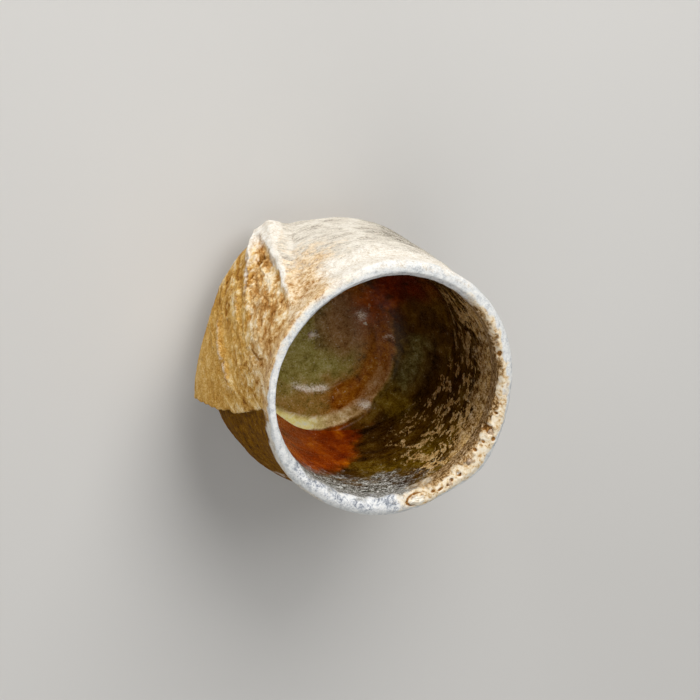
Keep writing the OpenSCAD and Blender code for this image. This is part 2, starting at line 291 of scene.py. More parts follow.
    # one deeper tear near the lip
    tear = bell(np.radians(A + 16) * 31 + 0.9 * perlin(z * 0.4, 6.6, 1.0) + 0.5 * ragged, 0.62) * window(z, 40, 43, 48, 50.5)
    out = out - 0.35 * tear * soft
    crease, cell = creases(A, z)
    crease = crease * (1 - 0.9 * calm)
    relief = relief - 0.07 * crease * (1 - 0.8 * welt) + 0.03 * (cell - 0.5) + 0.35 * scar * crags
    out = out + relief * soft * sst(0, 0.05, t) * (1 - 0.75 * np.maximum(line, 0.8 * welt))
    f1, f2, cid = worley(arc * 0.38, z * 0.38, 0.5)
    hole = sst(0.26, 0.08, f1) * (cid > 0.82) * soft * (1 - welt)
    out = out - 0.5 * hole
    out = np.maximum(out, inner + 0.04 + 0.25 * soft)
    right = np.interp(z, [9, 13, 16, 24, 40], [-4.6, -3.2, -2.2, -1.4, -1.2])
    white = np.clip((line * np.interp(z, [9, 38, 49], [1.25, 0.95, 0.1]) + 0.62 * np.maximum(welt, 0.8 * between) * sst(24, 15, z)) * sst(-1.3, 0.2, dc - right + 0.8 * ragged) + 0.50 * branch * (1 - welt) * np.clip(hb, 0, 1) ** 0.5 + streak, 0, 1)
    # painted light and shade in the relief mask: clay coloured paler where the relief stands up and darker where it
    # sinks
    return A, z, inner, out, dict(white=white, cav=np.clip(np.maximum(cav, 0.75 * tear), 0, 1), hole=hole, scar=scar, soft=soft, crease=np.maximum(crease * (1 - welt), 0.85 * hollow), relief_shade=np.clip(0.5 + relief / 1.3, 0, 1), calm=sst(0.38, 0.66, u + 0.10 * lumps) * sst(0.80, 0.45, t + 0.15 * lumps))


# ------------------------------------------------------------------ the lip

def crust_curve(A, n):
    """Outside of the crust at each angle, from its outer lower edge over the lip to its inner lower edge."""
    A = np.asarray(A, float)
    one = np.ones_like(A)
    rs = rim_shift(A)
    ro = 30.0 + rs
    warm = window(wrap(A - 128), -62, -38, 34, 56)
    ri = 26.55 + 0.4 * bell(wrap(A), 40) - 0.35 * bell(wrap(A + 95), 45) - 0.5 * warm + 0.25 * np.sin(np.radians(3 * A + 50))
    zt = 55.72 + 0.13 * np.sin(np.radians(2 * A + 20)) + 0.10 * np.sin(np.radians(5 * A)) - 0.15 * warm
    mid = ri + (ro - ri) * (0.50 + 0.10 * warm)
    r_lo = wall_r(A, CRUST_Z * one)
    r_in = cav_r(CRUST_IN_Z * one) - 0.32
    pts = np.stack([
        np.stack([r_lo, CRUST_Z * one], -1),
        np.stack([0.5 * (r_lo + ro) + 0.02, 53.2 * one], -1),
        np.stack([ro, 54.3 * one], -1),
        np.stack([ro - 0.22 * (ro - ri) * 0.6, zt - 0.55], -1),
        np.stack([mid + 0.55, zt - 0.06], -1),
        np.stack([mid - 0.5, zt], -1),
        np.stack([ri + 0.75, zt - 0.42 - 0.25 * warm], -1),
        np.stack([ri + 0.12, zt - 1.4 - 0.3 * warm], -1),
        np.stack([0.5 * (ri + r_in) + 0.02, 52.6 * one], -1),
        np.stack([r_in, CRUST_IN_Z * one], -1)], axis=0)
    ext = np.concatenate([2 * pts[:1] - pts[1:2], pts, 2 * pts[-1:] - pts[-2:-1]], axis=0)
    k = pts.shape[0] - 1
    s = np.linspace(0, k, n)
    i = np.minimum(s.astype(int), k - 1)
    f = (s - i)[:, None, None]
    p0, p1, p2, p3 = ext[i], ext[i + 1], ext[i + 2], ext[i + 3]
    return 0.5 * (2 * p1 + (p2 - p0) * f + (2 * p0 - 5 * p1 + 4 * p2 - p3) * f ** 2 + (3 * p1 - p0 - 3 * p2 + p3) * f ** 3)


# ------------------------------------------------------------------ the inside

def cav_r(z):
    t = np.clip((np.asarray(z, float) - DISC_TOP) / (CRUST_IN_Z - DISC_TOP), 0, 1)
    return FLOOR_R + (LIP_IN - FLOOR_R) * np.sin(np.radians(90 * t ** 0.72)) ** 0.9


def lin_r(z):
    t = np.clip((np.asarray(z, float) - DISC_TOP) / (CRUST_IN_Z - DISC_TOP), 0, 1)
    return cav_r(z) - 0.5 * (1 - 0.4 * t)


def lining_fields(A, z):
    r = lin_r(z)
    P = polar(r, A, z)
    x, y, zz = P[..., 0], P[..., 1], P[..., 2]
    s = CUP_H - z
    n = fbm(x * 0.12, y * 0.12, zz * 0.12, 3)
    rings = fbm(x * 0.03, y * 0.03, zz * 0.33, 3, 0.5)
    lumps = fbm(x * 0.14, y * 0.14, zz * 0.14 + 3, 3)
    right = window(wrap(A - 158) + 10 * n, -62, -30, 46, 84)      # flaky side
    low = window(wrap(A - 88) + 18 * n + 12 * fbm(x * 0.35, y * 0.35, zz * 0.5 + 51, 3), -54, -24, -2, 40)  # salt-and-pepper side
    near = 1 - sst(10, 36, s)
    # flakes of ash lie along the throwing direction; their rims are the brightest
    fl = fbm(x * 0.23, y * 0.23, zz * 0.36 + 40, 3, 0.55) + 0.20 * fbm(x * 0.8, y * 0.8, zz * 1.4 + 12, 2, 0.6) - 0.17 + 0.26 * near
    keep = right * (1 - sst(28, 40, s + 5 * n))
    jx = fbm(x * 0.45, y * 0.45, zz * 0.45 + 3, 3, 0.6)
    jy = fbm(x * 0.45, y * 0.45, zz * 0.45 + 33, 3, 0.6)
    c1, c2, cc = worley(x * 0.46 + 1.2 * jx, y * 0.46 + 1.2 * jy, zz * 0.52 - 1.2 * jx)
    loops = bell(c2 - c1 - 0.05, 0.14) * (cc > 0.25) + 0.5 * sst(0.12, 0.34, c2 - c1) * (cc > 0.70)
    flake = np.clip(loops, 0, 1) * sst(-0.16, 0.10, fl + 0.10 * jy) * keep
    grain = fbm(x * 1.5, y * 1.5, zz * 2.0 + 5, 3, 0.7)
    salt = low * (1 - sst(7, 22, s + 5.0 * n + 9.0 * fbm(x * 0.3, y * 0.3, zz * 0.5 + 15, 3) + 4.0 * fbm(x * 0.9, y * 0.9, zz * 1.4 + 25, 2)))
    salt = np.maximum(salt, 0.25 * window(wrap(A - 122), -30, -12, 8, 26) * (1 - sst(6, 15, s + 4 * n)))
    d = 0.16 * rings + 0.16 * lumps + 0.16 * flake + 0.30 * salt * grain + 0.05 * grain
    # amber glass has run together on the side the cup lay on
    low_s = np.interp(wrap(A), [-70, -40, 20, 40, 60, 74, 84, 92, 100, 108, 116], [60, 30, 6, 9, 14.5, 19.5, 24.5, 29.5, 36, 44, 55])
    amber = sst(-3.6, 4.2, s - low_s + 5.0 * fbm(x * 0.16, y * 0.16, zz * 0.16 + 8, 3) + 2.0 * fbm(x * 0.5, y * 0.5, zz * 0.5 + 8, 3))
    tanned = window(wrap(A - 165) + 14 * n, -48, -20, 50, 84) * (1 - sst(7, 19, s + 8 * n + 6 * lumps))
    return d, dict(flake=flake, salt=salt, amber=amber, right=right, n=n, tanned=tanned)


# ------------------------------------------------------------------ meshes

def grid_quads(rows, cols, wrap_rows, wrap_cols, start=0):
    i = np.arange(rows if wrap_rows else rows - 1)
    j = np.arange(cols if wrap_cols else cols - 1)
    I, J = np.meshgrid(i, j, indexing="ij")
    I2, J2 = (I + 1) % rows, (J + 1) % cols
    return (start + np.stack([I * cols + J, I * cols + J2, I2 * cols + J2, I2 * cols + J], -1)).reshape(-1, 4)


def outward(verts, quads):
    a, b, c, d = (verts[quads[:, k]] for k in range(4))
    vol = np.einsum("ij,ij->i", a, np.cross(b, c)).sum() + np.einsum("ij,ij->i", a, np.cross(c, d)).sum()
    return quads if vol > 0 else quads[:, ::-1]


def make_piece(name, verts, faces, attrs, mat, node):
    verts = np.asarray(verts, float).reshape(-1, 3)
    me = bpy.data.meshes.new(name)
    me.from_pydata((verts * MM).tolist(), [], faces.tolist() if hasattr(faces, "tolist") else faces)
    for k, v in attrs.items():
        v = np.asarray(v, np.float32)
        if v.ndim == 2:
            me.attributes.new(k, "FLOAT_VECTOR", "POINT").data.foreach_set("vector", v.ravel())
        else:
            me.attributes.new(k, "FLOAT", "POINT").data.foreach_set("value", v)
    me.polygons.foreach_set("use_smooth", np.ones(len(me.polygons), bool))
    me.validate()
    me.update()
    me.set_sharp_from_angle(angle=math.radians(62))
    ob = bpy.data.objects.new(name, me)
    bpy.context.scene.collection.objects.link(ob)
    me.materials.append(mat)
    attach(ob, "root")
    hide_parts(node)
    return ob


# ------------------------------------------------------------------ materials

def srgb(r, g, b):
    def f(c):
        c /= 255.0
        return c / 12.92 if c <= 0.04045 else ((c + 0.055) / 1.055) ** 2.4
    return (f(r), f(g), f(b), 1.0)


class Mat:
    def __init__(self, name):
        self.m = bpy.data.materials.new(name)
        self.m.use_nodes = True
        self.t = self.m.node_tree
        self.t.nodes.clear()
        self.out = self.t.nodes.new("ShaderNodeOutputMaterial")
        self.bsdf = self.t.nodes.new("ShaderNodeBsdfPrincipled")
        self.t.links.new(self.bsdf.outputs[0], self.out.inputs[0])
        self.coord = self.t.nodes.new("ShaderNodeTexCoord").outputs["Object"]

    def put(self, socket, v):
        if isinstance(v, bpy.types.NodeSocket):
            self.t.links.new(v, socket)
        elif v is not None:
            socket.default_value = v

    def scaled(self, freq, coord=None):
        n = self.t.nodes.new("ShaderNodeMapping")
        self.put(n.inputs["Vector"], coord or self.coord)
        k = 1.0 if coord else 1000.0
        n.inputs["Scale"].default_value = tuple(k * f for f in (freq if hasattr(freq, "__len__") else (freq,) * 3))
        return n.outputs[0]

    def noise(self, freq, detail=3.0, rough=0.5, distortion=0.0, coord=None, shift=0.0):
        n = self.t.nodes.new("ShaderNodeTexNoise")
        v = self.scaled(freq, coord)
        v.node.inputs["Location"].default_value = (shift, shift * 0.7, -shift * 0.4)
        self.put(n.inputs["Vector"], v)
        n.inputs["Scale"].default_value = 1.0
        n.inputs["Detail"].default_value = detail
        n.inputs["Roughness"].default_value = rough
        n.inputs["Distortion"].default_value = distortion
        return n.outputs[0]

    def voronoi(self, freq, feature="F1", rand=1.0, coord=None):
        n = self.t.nodes.new("ShaderNodeTexVoronoi")
        n.feature = feature
        self.put(n.inputs["Vector"], self.scaled(freq, coord))
        n.inputs["Scale"].default_value = 1.0
        n.inputs["Randomness"].default_value = rand
        return n.outputs["Distance"]

    def attr(self, name, vector=False):
        n = self.t.nodes.new("ShaderNodeAttribute")
        n.attribute_name = name
        return n.outputs["Vector" if vector else "Fac"]

    def ramp(self, fac, stops):
        n = self.t.nodes.new("ShaderNodeValToRGB")
        self.put(n.inputs[0], fac)
        e = n.color_ramp.elements
        while len(e) < len(stops):
            e.new(0.5)
        for k, (p, c) in enumerate(stops):
            e[k].position = p
            e[k].color = c if len(c) == 4 else srgb(*c)
        return n.outputs[0]

    def mix(self, fac, a, b, kind="MIX"):
        n = self.t.nodes.new("ShaderNodeMix")
        n.data_type = "RGBA"
        n.blend_type = kind
        self.put(n.inputs[0], fac)
        self.put(n.inputs[6], a if not isinstance(a, tuple) or len(a) == 4 else srgb(*a))
        self.put(n.inputs[7], b if not isinstance(b, tuple) or len(b) == 4 else srgb(*b))
        return n.outputs[2]

    def math(self, op, a, b=None, c=None):
        n = self.t.nodes.new("ShaderNodeMath")
        n.operation = op
        for s, v in zip(n.inputs, (a, b, c)):
            self.put(s, v)
        return n.outputs[0]

    def step(self, x, lo, hi, a=0.0, b=1.0):
        n = self.t.nodes.new("ShaderNodeMapRange")
        n.interpolation_type = "SMOOTHSTEP"
        for k, v in enumerate((x, lo, hi, a, b)):
            self.put(n.inputs[k], v)
        return n.outputs[0]

    def add(self, *xs):
        s = xs[0]
        for x in xs[1:]:
            s = self.math("ADD", s, x)
        return s

    def mul(self, *xs):
        s = xs[0]
        for x in xs[1:]:
            s = self.math("MULTIPLY", s, x)
        return s

    def bump(self, height, mm, strength=1.0, normal=None):
        n = self.t.nodes.new("ShaderNodeBump")
        n.inputs["Strength"].default_value = strength
        n.inputs["Distance"].default_value = mm * MM
        self.put(n.inputs["Height"], height)
        if normal is not None:
            self.put(n.inputs["Normal"], normal)
        return n.outputs[0]

    def finish(self, colour, rough, normal=None, **sockets):
        self.put(self.bsdf.inputs["Base Color"], colour)
        self.put(self.bsdf.inputs["Roughness"], rough)
        if normal is not None:
            self.put(self.bsdf.inputs["Normal"], normal)
        for k, v in sockets.items():
            self.bsdf.inputs[k.replace("_", " ")].default_value = v
        return self.m


def outer_material(name, spec):
    """Fired clay under wood ash: one finish for the outside, steered by where on the cup it lies."""
    m = Mat(name)
    lines = m.noise((0.16, 0.16, 0.85), 6, 0.68, 1.0)
    fine = m.noise((0.9, 0.9, 2.6), 5, 0.7, 0.6, shift=4)
    blot = m.noise(0.20, 4, 0.6, 0.5, shift=9)
    mott = m.noise(0.55, 5, 0.66, 0.5, shift=6)
    speck = m.noise(2.6, 3, 0.7, shift=2)
    sand = m.noise(3.8, 3, 0.75, shift=8)
    lift = lambda x, k: m.mul(m.add(x, -0.5), k)

    # painted light and shade from the relief height: raised clay lighter, low clay darker
    relief_shade = m.attr("m_relief_shade")
    ash = m.ramp(m.add(m.mul(lines, 0.32), m.mul(fine, 0.26), m.mul(blot, 0.18), m.mul(speck, 0.24), m.mul(m.add(relief_shade, -0.5), 0.05)),
                 [(0.39, (118, 111, 103)), (0.445, (176, 168, 156)), (0.49, (206, 199, 186)), (0.55, (221, 217, 207)), (0.65, (234, 232, 227))])
    tan = m.ramp(m.add(m.mul(mott, 0.46), m.mul(fine, 0.26), m.mul(speck, 0.28), m.mul(m.add(relief_shade, -0.5), 0.06)),
                 [(0.39, (138, 92, 44)), (0.44, (182, 142, 92)), (0.485, (210, 182, 140)), (0.53, (226, 206, 174)), (0.62, (238, 228, 210))])
    dark = m.ramp(m.add(m.mul(lines, 0.20), m.mul(mott, 0.34), m.mul(fine, 0.20), m.mul(speck, 0.26)),
                  [(0.38, (44, 24, 1)), (0.46, (90, 56, 4)), (0.53, (126, 84, 10)), (0.60, (148, 104, 22)), (0.70, (172, 130, 50))])
    sl = m.attr("slab_uvw", True)
    drag = m.noise((0.42, 0.075, 1.0), 5, 0.64, 0.5, coord=sl)
    drag2 = m.noise((1.25, 0.30, 1.0), 4, 0.66, 0.4, coord=sl, shift=3)
    broad = m.noise((0.30, 0.11, 1.0), 4, 0.58, 0.7, coord=sl, shift=7)
    v = m.add(m.mul(drag, 0.12), m.mul(drag2, 0.04), m.mul(mott, 0.36), m.mul(broad, 0.26), m.mul(sand, 0.22), m.mul(m.add(relief_shade, -0.5), 0.20))
    calm = m.attr("m_calm")
    v = m.math("ADD", v, m.mul(calm, m.add(m.mul(v, -0.62), 0.306, lift(speck, 0.22))))
    ochre = m.ramp(v, [(0.39, (98, 56, 10)), (0.43, (148, 97, 34)), (0.465, (184, 136, 60)), (0.50, (207, 164, 86)), (0.54, (228, 200, 142)), (0.60, (242, 230, 202))])
    pale = m.ramp(v, [(0.39, (104, 60, 14)), (0.43, (150, 100, 44)), (0.465, (184, 138, 78)), (0.50, (208, 170, 112)), (0.54, (228, 204, 160)), (0.60, (242, 231, 208))])
    warm = m.mix(m.step(m.add(m.attr("m_pale"), lift(mott, 0.9)), 0.3, 0.75), ochre, pale)
    stain = m.add(m.mul(m.noise((0.55, 0.55, 0.85), 6, 0.72, 1.3, shift=15), 0.7), m.mul(speck, 0.3))
    white = m.ramp(m.add(m.mul(fine, 0.35), m.mul(speck, 0.35), m.mul(mott, 0.3)), [(0.38, (176, 160, 136)), (0.46, (214, 206, 192)), (0.55, (231, 228, 221)), (0.66, (240, 239, 236))])

    grey = m.ramp(m.add(m.mul(lines, 0.30), m.mul(fine, 0.34), m.mul(speck, 0.36)),
                  [(0.40, (66, 60, 50)), (0.46, (120, 113, 102)), (0.51, (172, 166, 154)), (0.57, (210, 205, 193)), (0.66, (234, 230, 220))])
    ash = m.mix(m.step(m.add(m.attr("m_grey"), lift(blot, 1.2), lift(fine, 0.8)), 0.3, 0.7), ash, grey)
    col = m.mix(m.step(m.add(m.attr("m_tan"), lift(mott, 1.3), lift(blot, 0.8), lift(fine, 0.4)), 0.22, 0.74), ash, tan)
    runs = m.ramp(m.add(m.mul(mott, 0.4), m.mul(speck, 0.35), m.mul(blot, 0.25)), [(0.38, (138, 126, 92)), (0.45, (186, 176, 144)), (0.52, (212, 204, 178)), (0.62, (232, 227, 212))])
    col = m.mix(m.step(m.add(m.attr("m_run"), lift(mott, 0.8), lift(speck, 0.3)), 0.25, 0.85, 0.0, 0.85), col, runs)
    col = m.mix(m.step(m.add(m.attr("m_ochre"), lift(mott, 0.9), lift(speck, 0.3)), 0.32, 0.68), col, warm)
    brown = m.ramp(m.add(m.mul(speck, 0.5), m.mul(mott, 0.5)), [(0.38, (96, 54, 10)), (0.5, (150, 102, 44)), (0.62, (194, 150, 92))])
    # brown in the creases and the torn scar, and painted shade in the hollow beside the third fold
    col = m.mix(m.step(m.add(m.attr("m_crease_and_shade"), lift(mott, 1.2), lift(speck, 0.6)), 0.35, 1.0, 0.0, 0.36), col, brown)
    open_ = m.mul(m.math("MAXIMUM", m.attr("m_tan"), m.attr("m_ochre")), m.math("SUBTRACT", 1.0, m.mul(calm, 0.75)), m.step(blot, 0.40, 0.56, 0.25, 1.0))
    col = m.mix(m.mul(m.step(stain, 0.515, 0.575, 0.0, 0.9), open_), col, brown)
    # white ash, and along the raised streaks of the slab a pale line that is partly a painted highlight
    col = m.mix(m.step(m.add(m.attr("m_white"), lift(mott, 0.6), lift(speck, 0.4)), 0.22, 0.72), col, white)
    col = m.mix(m.step(m.add(m.attr("m_dark"), lift(mott, 0.7), lift(fine, 0.4), lift(blot, 0.5)), 0.30, 0.70), col, dark)

    # the lip: cool white, speckled grey low down, cream and tan on the warm side, brown where it turns inside
    neutral = m.ramp(m.add(m.mul(m.noise(0.8, 4, 0.6, shift=5), 0.55), m.mul(speck, 0.45)),
                     [(0.38, (176, 181, 186)), (0.445, (202, 206, 209)), (0.51, (218, 221, 222)), (0.62, (234, 235, 234))])
    spk = m.ramp(m.add(m.mul(m.noise(0.75, 5, 0.72, 0.8, shift=7), 0.75), m.mul(speck, 0.25)), [(0.39, (112, 119, 130)), (0.45, (160, 166, 176)), (0.505, (209, 213, 218)), (0.56, (231, 233, 234)), (0.66, (242, 242, 240))])
    cream = m.ramp(m.add(m.mul(mott, 0.45), m.mul(m.noise(1.3, 4, 0.7, shift=1), 0.55)),
                   [(0.36, (120, 78, 28)), (0.41, (182, 142, 90)), (0.455, (214, 190, 150)), (0.51, (228, 214, 188)), (0.64, (238, 232, 218))])
    turn = m.ramp(m.add(m.mul(m.noise((0.9, 0.9, 1.4), 4, 0.72, shift=3), 0.6), m.mul(speck, 0.4)),
                  [(0.40, (62, 36, 8)), (0.45, (108, 76, 34)), (0.50, (152, 118, 72)), (0.55, (190, 160, 116)), (0.63, (230, 214, 186))])
    rim = m.mix(m.step(m.add(m.attr("m_speck"), lift(mott, 0.5)), 0.2, 0.8), neutral, spk)
    rim = m.mix(m.step(m.add(m.attr("m_cream"), lift(mott, 1.5), lift(speck, 0.6)), 0.15, 0.85), rim, cream)
    col = m.mix(m.step(m.add(m.attr("m_rim"), lift(mott, 0.9), lift(speck, 0.3)), 0.25, 0.75), col, rim)
    pepper = m.ramp(m.add(m.mul(m.noise((0.95, 0.95, 1.5), 5, 0.78, 0.4, shift=9), 0.6), m.mul(speck, 0.4)), [(0.41, (48, 42, 30)), (0.46, (102, 98, 88)), (0.51, (156, 156, 150)), (0.58, (214, 216, 216))])
    col = m.mix(m.step(m.add(m.attr("m_pepper"), lift(mott, 1.4), lift(speck, 0.9)), 0.15, 0.9), col, pepper)
    col = m.mix(m.step(m.add(m.attr("m_turn"), lift(mott, 1.1), lift(speck, 0.5)), 0.33, 0.67), col, turn)
    # the pits of the lip and the groove by the stone are coloured brown; in the hollows, tear, holes and low relief of
    # the clay this brown is painted shade
    pit_and_shade = m.ramp(speck, [(0.36, (82, 48, 10)), (0.5, (134, 88, 32)), (0.66, (182, 138, 78))])
    col = m.mix(m.step(m.add(m.attr("m_pits_and_shade"), lift(speck, 0.5)), 0.28, 0.62), col, pit_and_shade)

    h = m.add(m.mul(speck, 0.5), m.mul(m.noise(6.0, 2, 0.6, shift=3), 0.25), m.mul(fine, 0.2), m.mul(mott, 0.5))
    smooth = m.attr("m_rim")
    nrm = m.bump(m.mul(h, m.step(smooth, 0.0, 1.0, 1.0, 0.55)), 0.22, 0.75)
    rough = m.math("SUBTRACT", m.step(mott, 0.3, 0.7, 0.66, 0.92), m.mul(smooth, 0.24))
    return m.finish(col, rough, nrm, Specular_IOR_Level=spec)


def inside_material(name, spec):
    """Ash glaze inside the cup: dark olive-brown glass with amber, red and yellow pools, and flakes of ash."""
    m = Mat(name)
    bands = m.noise((0.07, 0.07, 0.34), 3, 0.55, 0.5)
    cloud = m.noise(0.17, 4, 0.6, 0.6, shift=2)
    mott = m.noise(0.6, 5, 0.68, 0.4, shift=3)
    speck = m.noise(2.4, 4, 0.75, shift=5)

    def over(col, mask, colour, n, k):
        """Lay a colour over another with a feathered edge that n breaks up."""
        mask = m.attr(mask)
        edge = m.mul(mask, m.math("SUBTRACT", 1.0, mask), 4.0 * k)
        return m.mix(m.math("ADD", mask, m.mul(m.add(n, -0.5), edge)), col, colour)

    tone = m.add(m.mul(bands, 0.30), m.mul(cloud, 0.28), m.mul(mott, 0.26), m.mul(speck, 0.16))
    grain = m.add(m.mul(mott, 0.45), m.mul(speck, 0.35), m.mul(cloud, 0.20))
    both = m.add(m.mul(mott, 0.5), m.mul(cloud, 0.5))
    col = m.ramp(tone, [(0.40, (30, 12, 0)), (0.46, (56, 31, 1)), (0.52, (80, 52, 4)), (0.58, (106, 78, 18)), (0.66, (136, 112, 54))])
    col = over(col, "m_olive", m.ramp(grain, [(0.40, (72, 51, 2)), (0.50, (120, 92, 10)), (0.60, (152, 128, 48))]), both, 1.6)
    col = over(col, "m_sage", m.ramp(grain, [(0.40, (66, 56, 16)), (0.50, (112, 102, 48)), (0.60, (150, 146, 98))]), both, 1.6)
    col = over(col, "m_floor", m.ramp(grain, [(0.39, (106, 96, 36)), (0.46, (144, 134, 62)), (0.53, (172, 164, 92)), (0.60, (198, 190, 130)), (0.68, (230, 224, 194))]), both, 1.2)
    col = over(col, "m_plum", m.ramp(grain, [(0.39, (112, 74, 32)), (0.46, (148, 107, 60)), (0.53, (170, 131, 84)), (0.60, (190, 160, 120)), (0.68, (222, 208, 184))]), both, 1.6)
    col = over(col, "m_brown", m.ramp(grain, [(0.39, (88, 38, 0)), (0.46, (132, 70, 2)), (0.53, (160, 94, 8)), (0.60, (182, 124, 34)), (0.68, (208, 172, 98))]), both, 1.6)
    col = over(col, "m_red", m.ramp(both, [(0.38, (46, 3, 0)), (0.5, (80, 12, 0)), (0.62, (112, 34, 1))]), both, 1.2)
    col = over(col, "m_amber", m.ramp(m.add(m.mul(cloud, 0.6), m.mul(mott, 0.4)), [(0.38, (112, 33, 0)), (0.48, (148, 57, 0)), (0.56, (175, 81, 0)), (0.66, (200, 112, 2))]), both, 2.2)
    bits = m.step(m.add(m.mul(m.noise(1.0, 3, 0.7, shift=12), 0.65), m.mul(speck, 0.35)), 0.575, 0.66)
    col = m.mix(m.mul(bits, m.attr("m_bits")), col, m.ramp(speck, [(0.4, (170, 154, 112)), (0.6, (220, 212, 188))]))
    # the ledge: yellow and beige glass, lifted close to white as a partly painted highlight
    col = over(col, "m_beige", m.ramp(grain, [(0.40, (158, 122, 62)), (0.50, (212, 182, 122)), (0.60, (246, 234, 198))]), both, 2.0)
    col = over(col, "m_yellow", m.ramp(grain, [(0.40, (248, 232, 132)), (0.50, (254, 248, 172)), (0.60, (255, 254, 230))]), both, 1.6)
    # pale glass, and painted highlights along the inner ring and on the floor
    col = over(col, "m_pale", m.ramp(speck, [(0.40, (222, 202, 170)), (0.60, (254, 249, 238))]), speck, 2.6)
    lipside = m.ramp(m.add(m.mul(mott, 0.55), m.mul(speck, 0.45)), [(0.39, (62, 36, 6)), (0.45, (116, 80, 34)), (0.50, (164, 128, 76)), (0.55, (202, 172, 124)), (0.62, (232, 216, 184))])
    col = m.mix(m.step(m.add(m.attr("m_tanned"), m.mul(m.add(mott, -0.5), 1.6), m.mul(m.add(cloud, -0.5), 0.8)), 0.30, 0.85), col, lipside)
    chip = m.ramp(m.add(m.mul(speck, 0.6), m.mul(mott, 0.4)), [(0.38, (110, 74, 26)), (0.45, (166, 126, 68)), (0.53, (210, 176, 116)), (0.62, (238, 218, 178))])
    fl = m.step(m.add(m.attr("m_flake"), m.mul(m.add(speck, -0.5), 0.5)), 0.26, 0.62)
    col = m.mix(fl, col, chip)
    salt = m.ramp(m.add(m.mul(m.noise((0.95, 0.95, 1.5), 5, 0.78, 0.4, shift=9), 0.6), m.mul(m.noise((2.4, 2.4, 3.0), 3, 0.8, shift=19), 0.4)), [(0.42, (22, 17, 8)), (0.46, (66, 61, 48)), (0.50, (122, 120, 110)), (0.54, (184, 186, 182)), (0.59, (240, 242, 240))])
    col = m.mix(m.step(m.add(m.attr("m_salt"), m.mul(m.add(mott, -0.5), 1.5), m.mul(m.add(speck, -0.5), 1.2)), 0.12, 0.98), col, salt)
    # dark holes in the glass, and painted shade on parts of the inner wall and the pool
    col = m.mix(m.attr("m_hole"), col, m.ramp(speck, [(0.4, (28, 11, 0)), (0.6, (54, 27, 3))]))
    nrm = m.bump(m.add(m.mul(speck, 0.5), m.mul(mott, 0.5)), 0.13, 0.65)
    rough = m.add(m.step(speck, 0.35, 0.65, 0.20, 0.36), m.mul(m.add(fl, m.attr("m_salt")), 0.25))
    return m.finish(col, rough, nrm, Specular_IOR_Level=spec)


def foot_material():
    m = Mat("bare_foot_clay")
    n1 = m.noise(0.2, 4, 0.6)
    n2 = m.noise((0.4, 0.4, 1.6), 5, 0.65, 0.3, shift=2)
    speck = m.noise(2.4, 4, 0.7, shift=5)
    col = m.ramp(m.add(m.mul(n2, 0.5), m.mul(speck, 0.5)), [(0.34, (78, 50, 26)), (0.45, (128, 90, 52)), (0.54, (164, 124, 80)), (0.66, (204, 174, 132))])
    col = m.mix(m.step(n1, 0.45, 0.65), col, m.ramp(speck, [(0.36, (96, 74, 54)), (0.5, (148, 128, 104)), (0.66, (206, 194, 174))]))
    nrm = m.bump(m.add(m.mul(speck, 0.6), m.mul(n2, 0.4)), 0.2, 0.8)
    return m.finish(col, m.step(n2, 0.3, 0.7, 0.7, 0.92), nrm)


def stone_material():
    m = Mat("half_melted_feldspar")
    n1 = m.noise(0.8, 4, 0.6)
    speck = m.noise(3.0, 4, 0.7, shift=5)
    col = m.ramp(m.add(m.mul(n1, 0.5), m.mul(speck, 0.5)), [(0.34, (190, 172, 142)), (0.46, (228, 218, 198)), (0.58, (244, 240, 230))])
    col = m.mix(m.attr("m_edge"), col, m.ramp(speck, [(0.36, (92, 56, 18)), (0.5, (150, 106, 56)), (0.66, (198, 164, 116))]))
    nrm = m.bump(m.add(m.mul(n1, 0.5), m.mul(speck, 0.5)), 0.12, 0.7)
    return m.finish(col, m.step(n1, 0.3, 0.7, 0.28, 0.5), nrm)


M_WALL = outer_material("ash_coated_clay", 0.03)
M_SLAB = outer_material("torn_sandy_clay", 0.04)
M_CRUST = outer_material("white_ash_crust", 0.14)
M_LINING = inside_material("ash_glaze_inside", 0.05)
M_POOL = inside_material("pooled_ash_glass", 0.14)
M_FOOT = foot_material()
M_STONE = stone_material()


# ------------------------------------------------------------------ masks for the outside

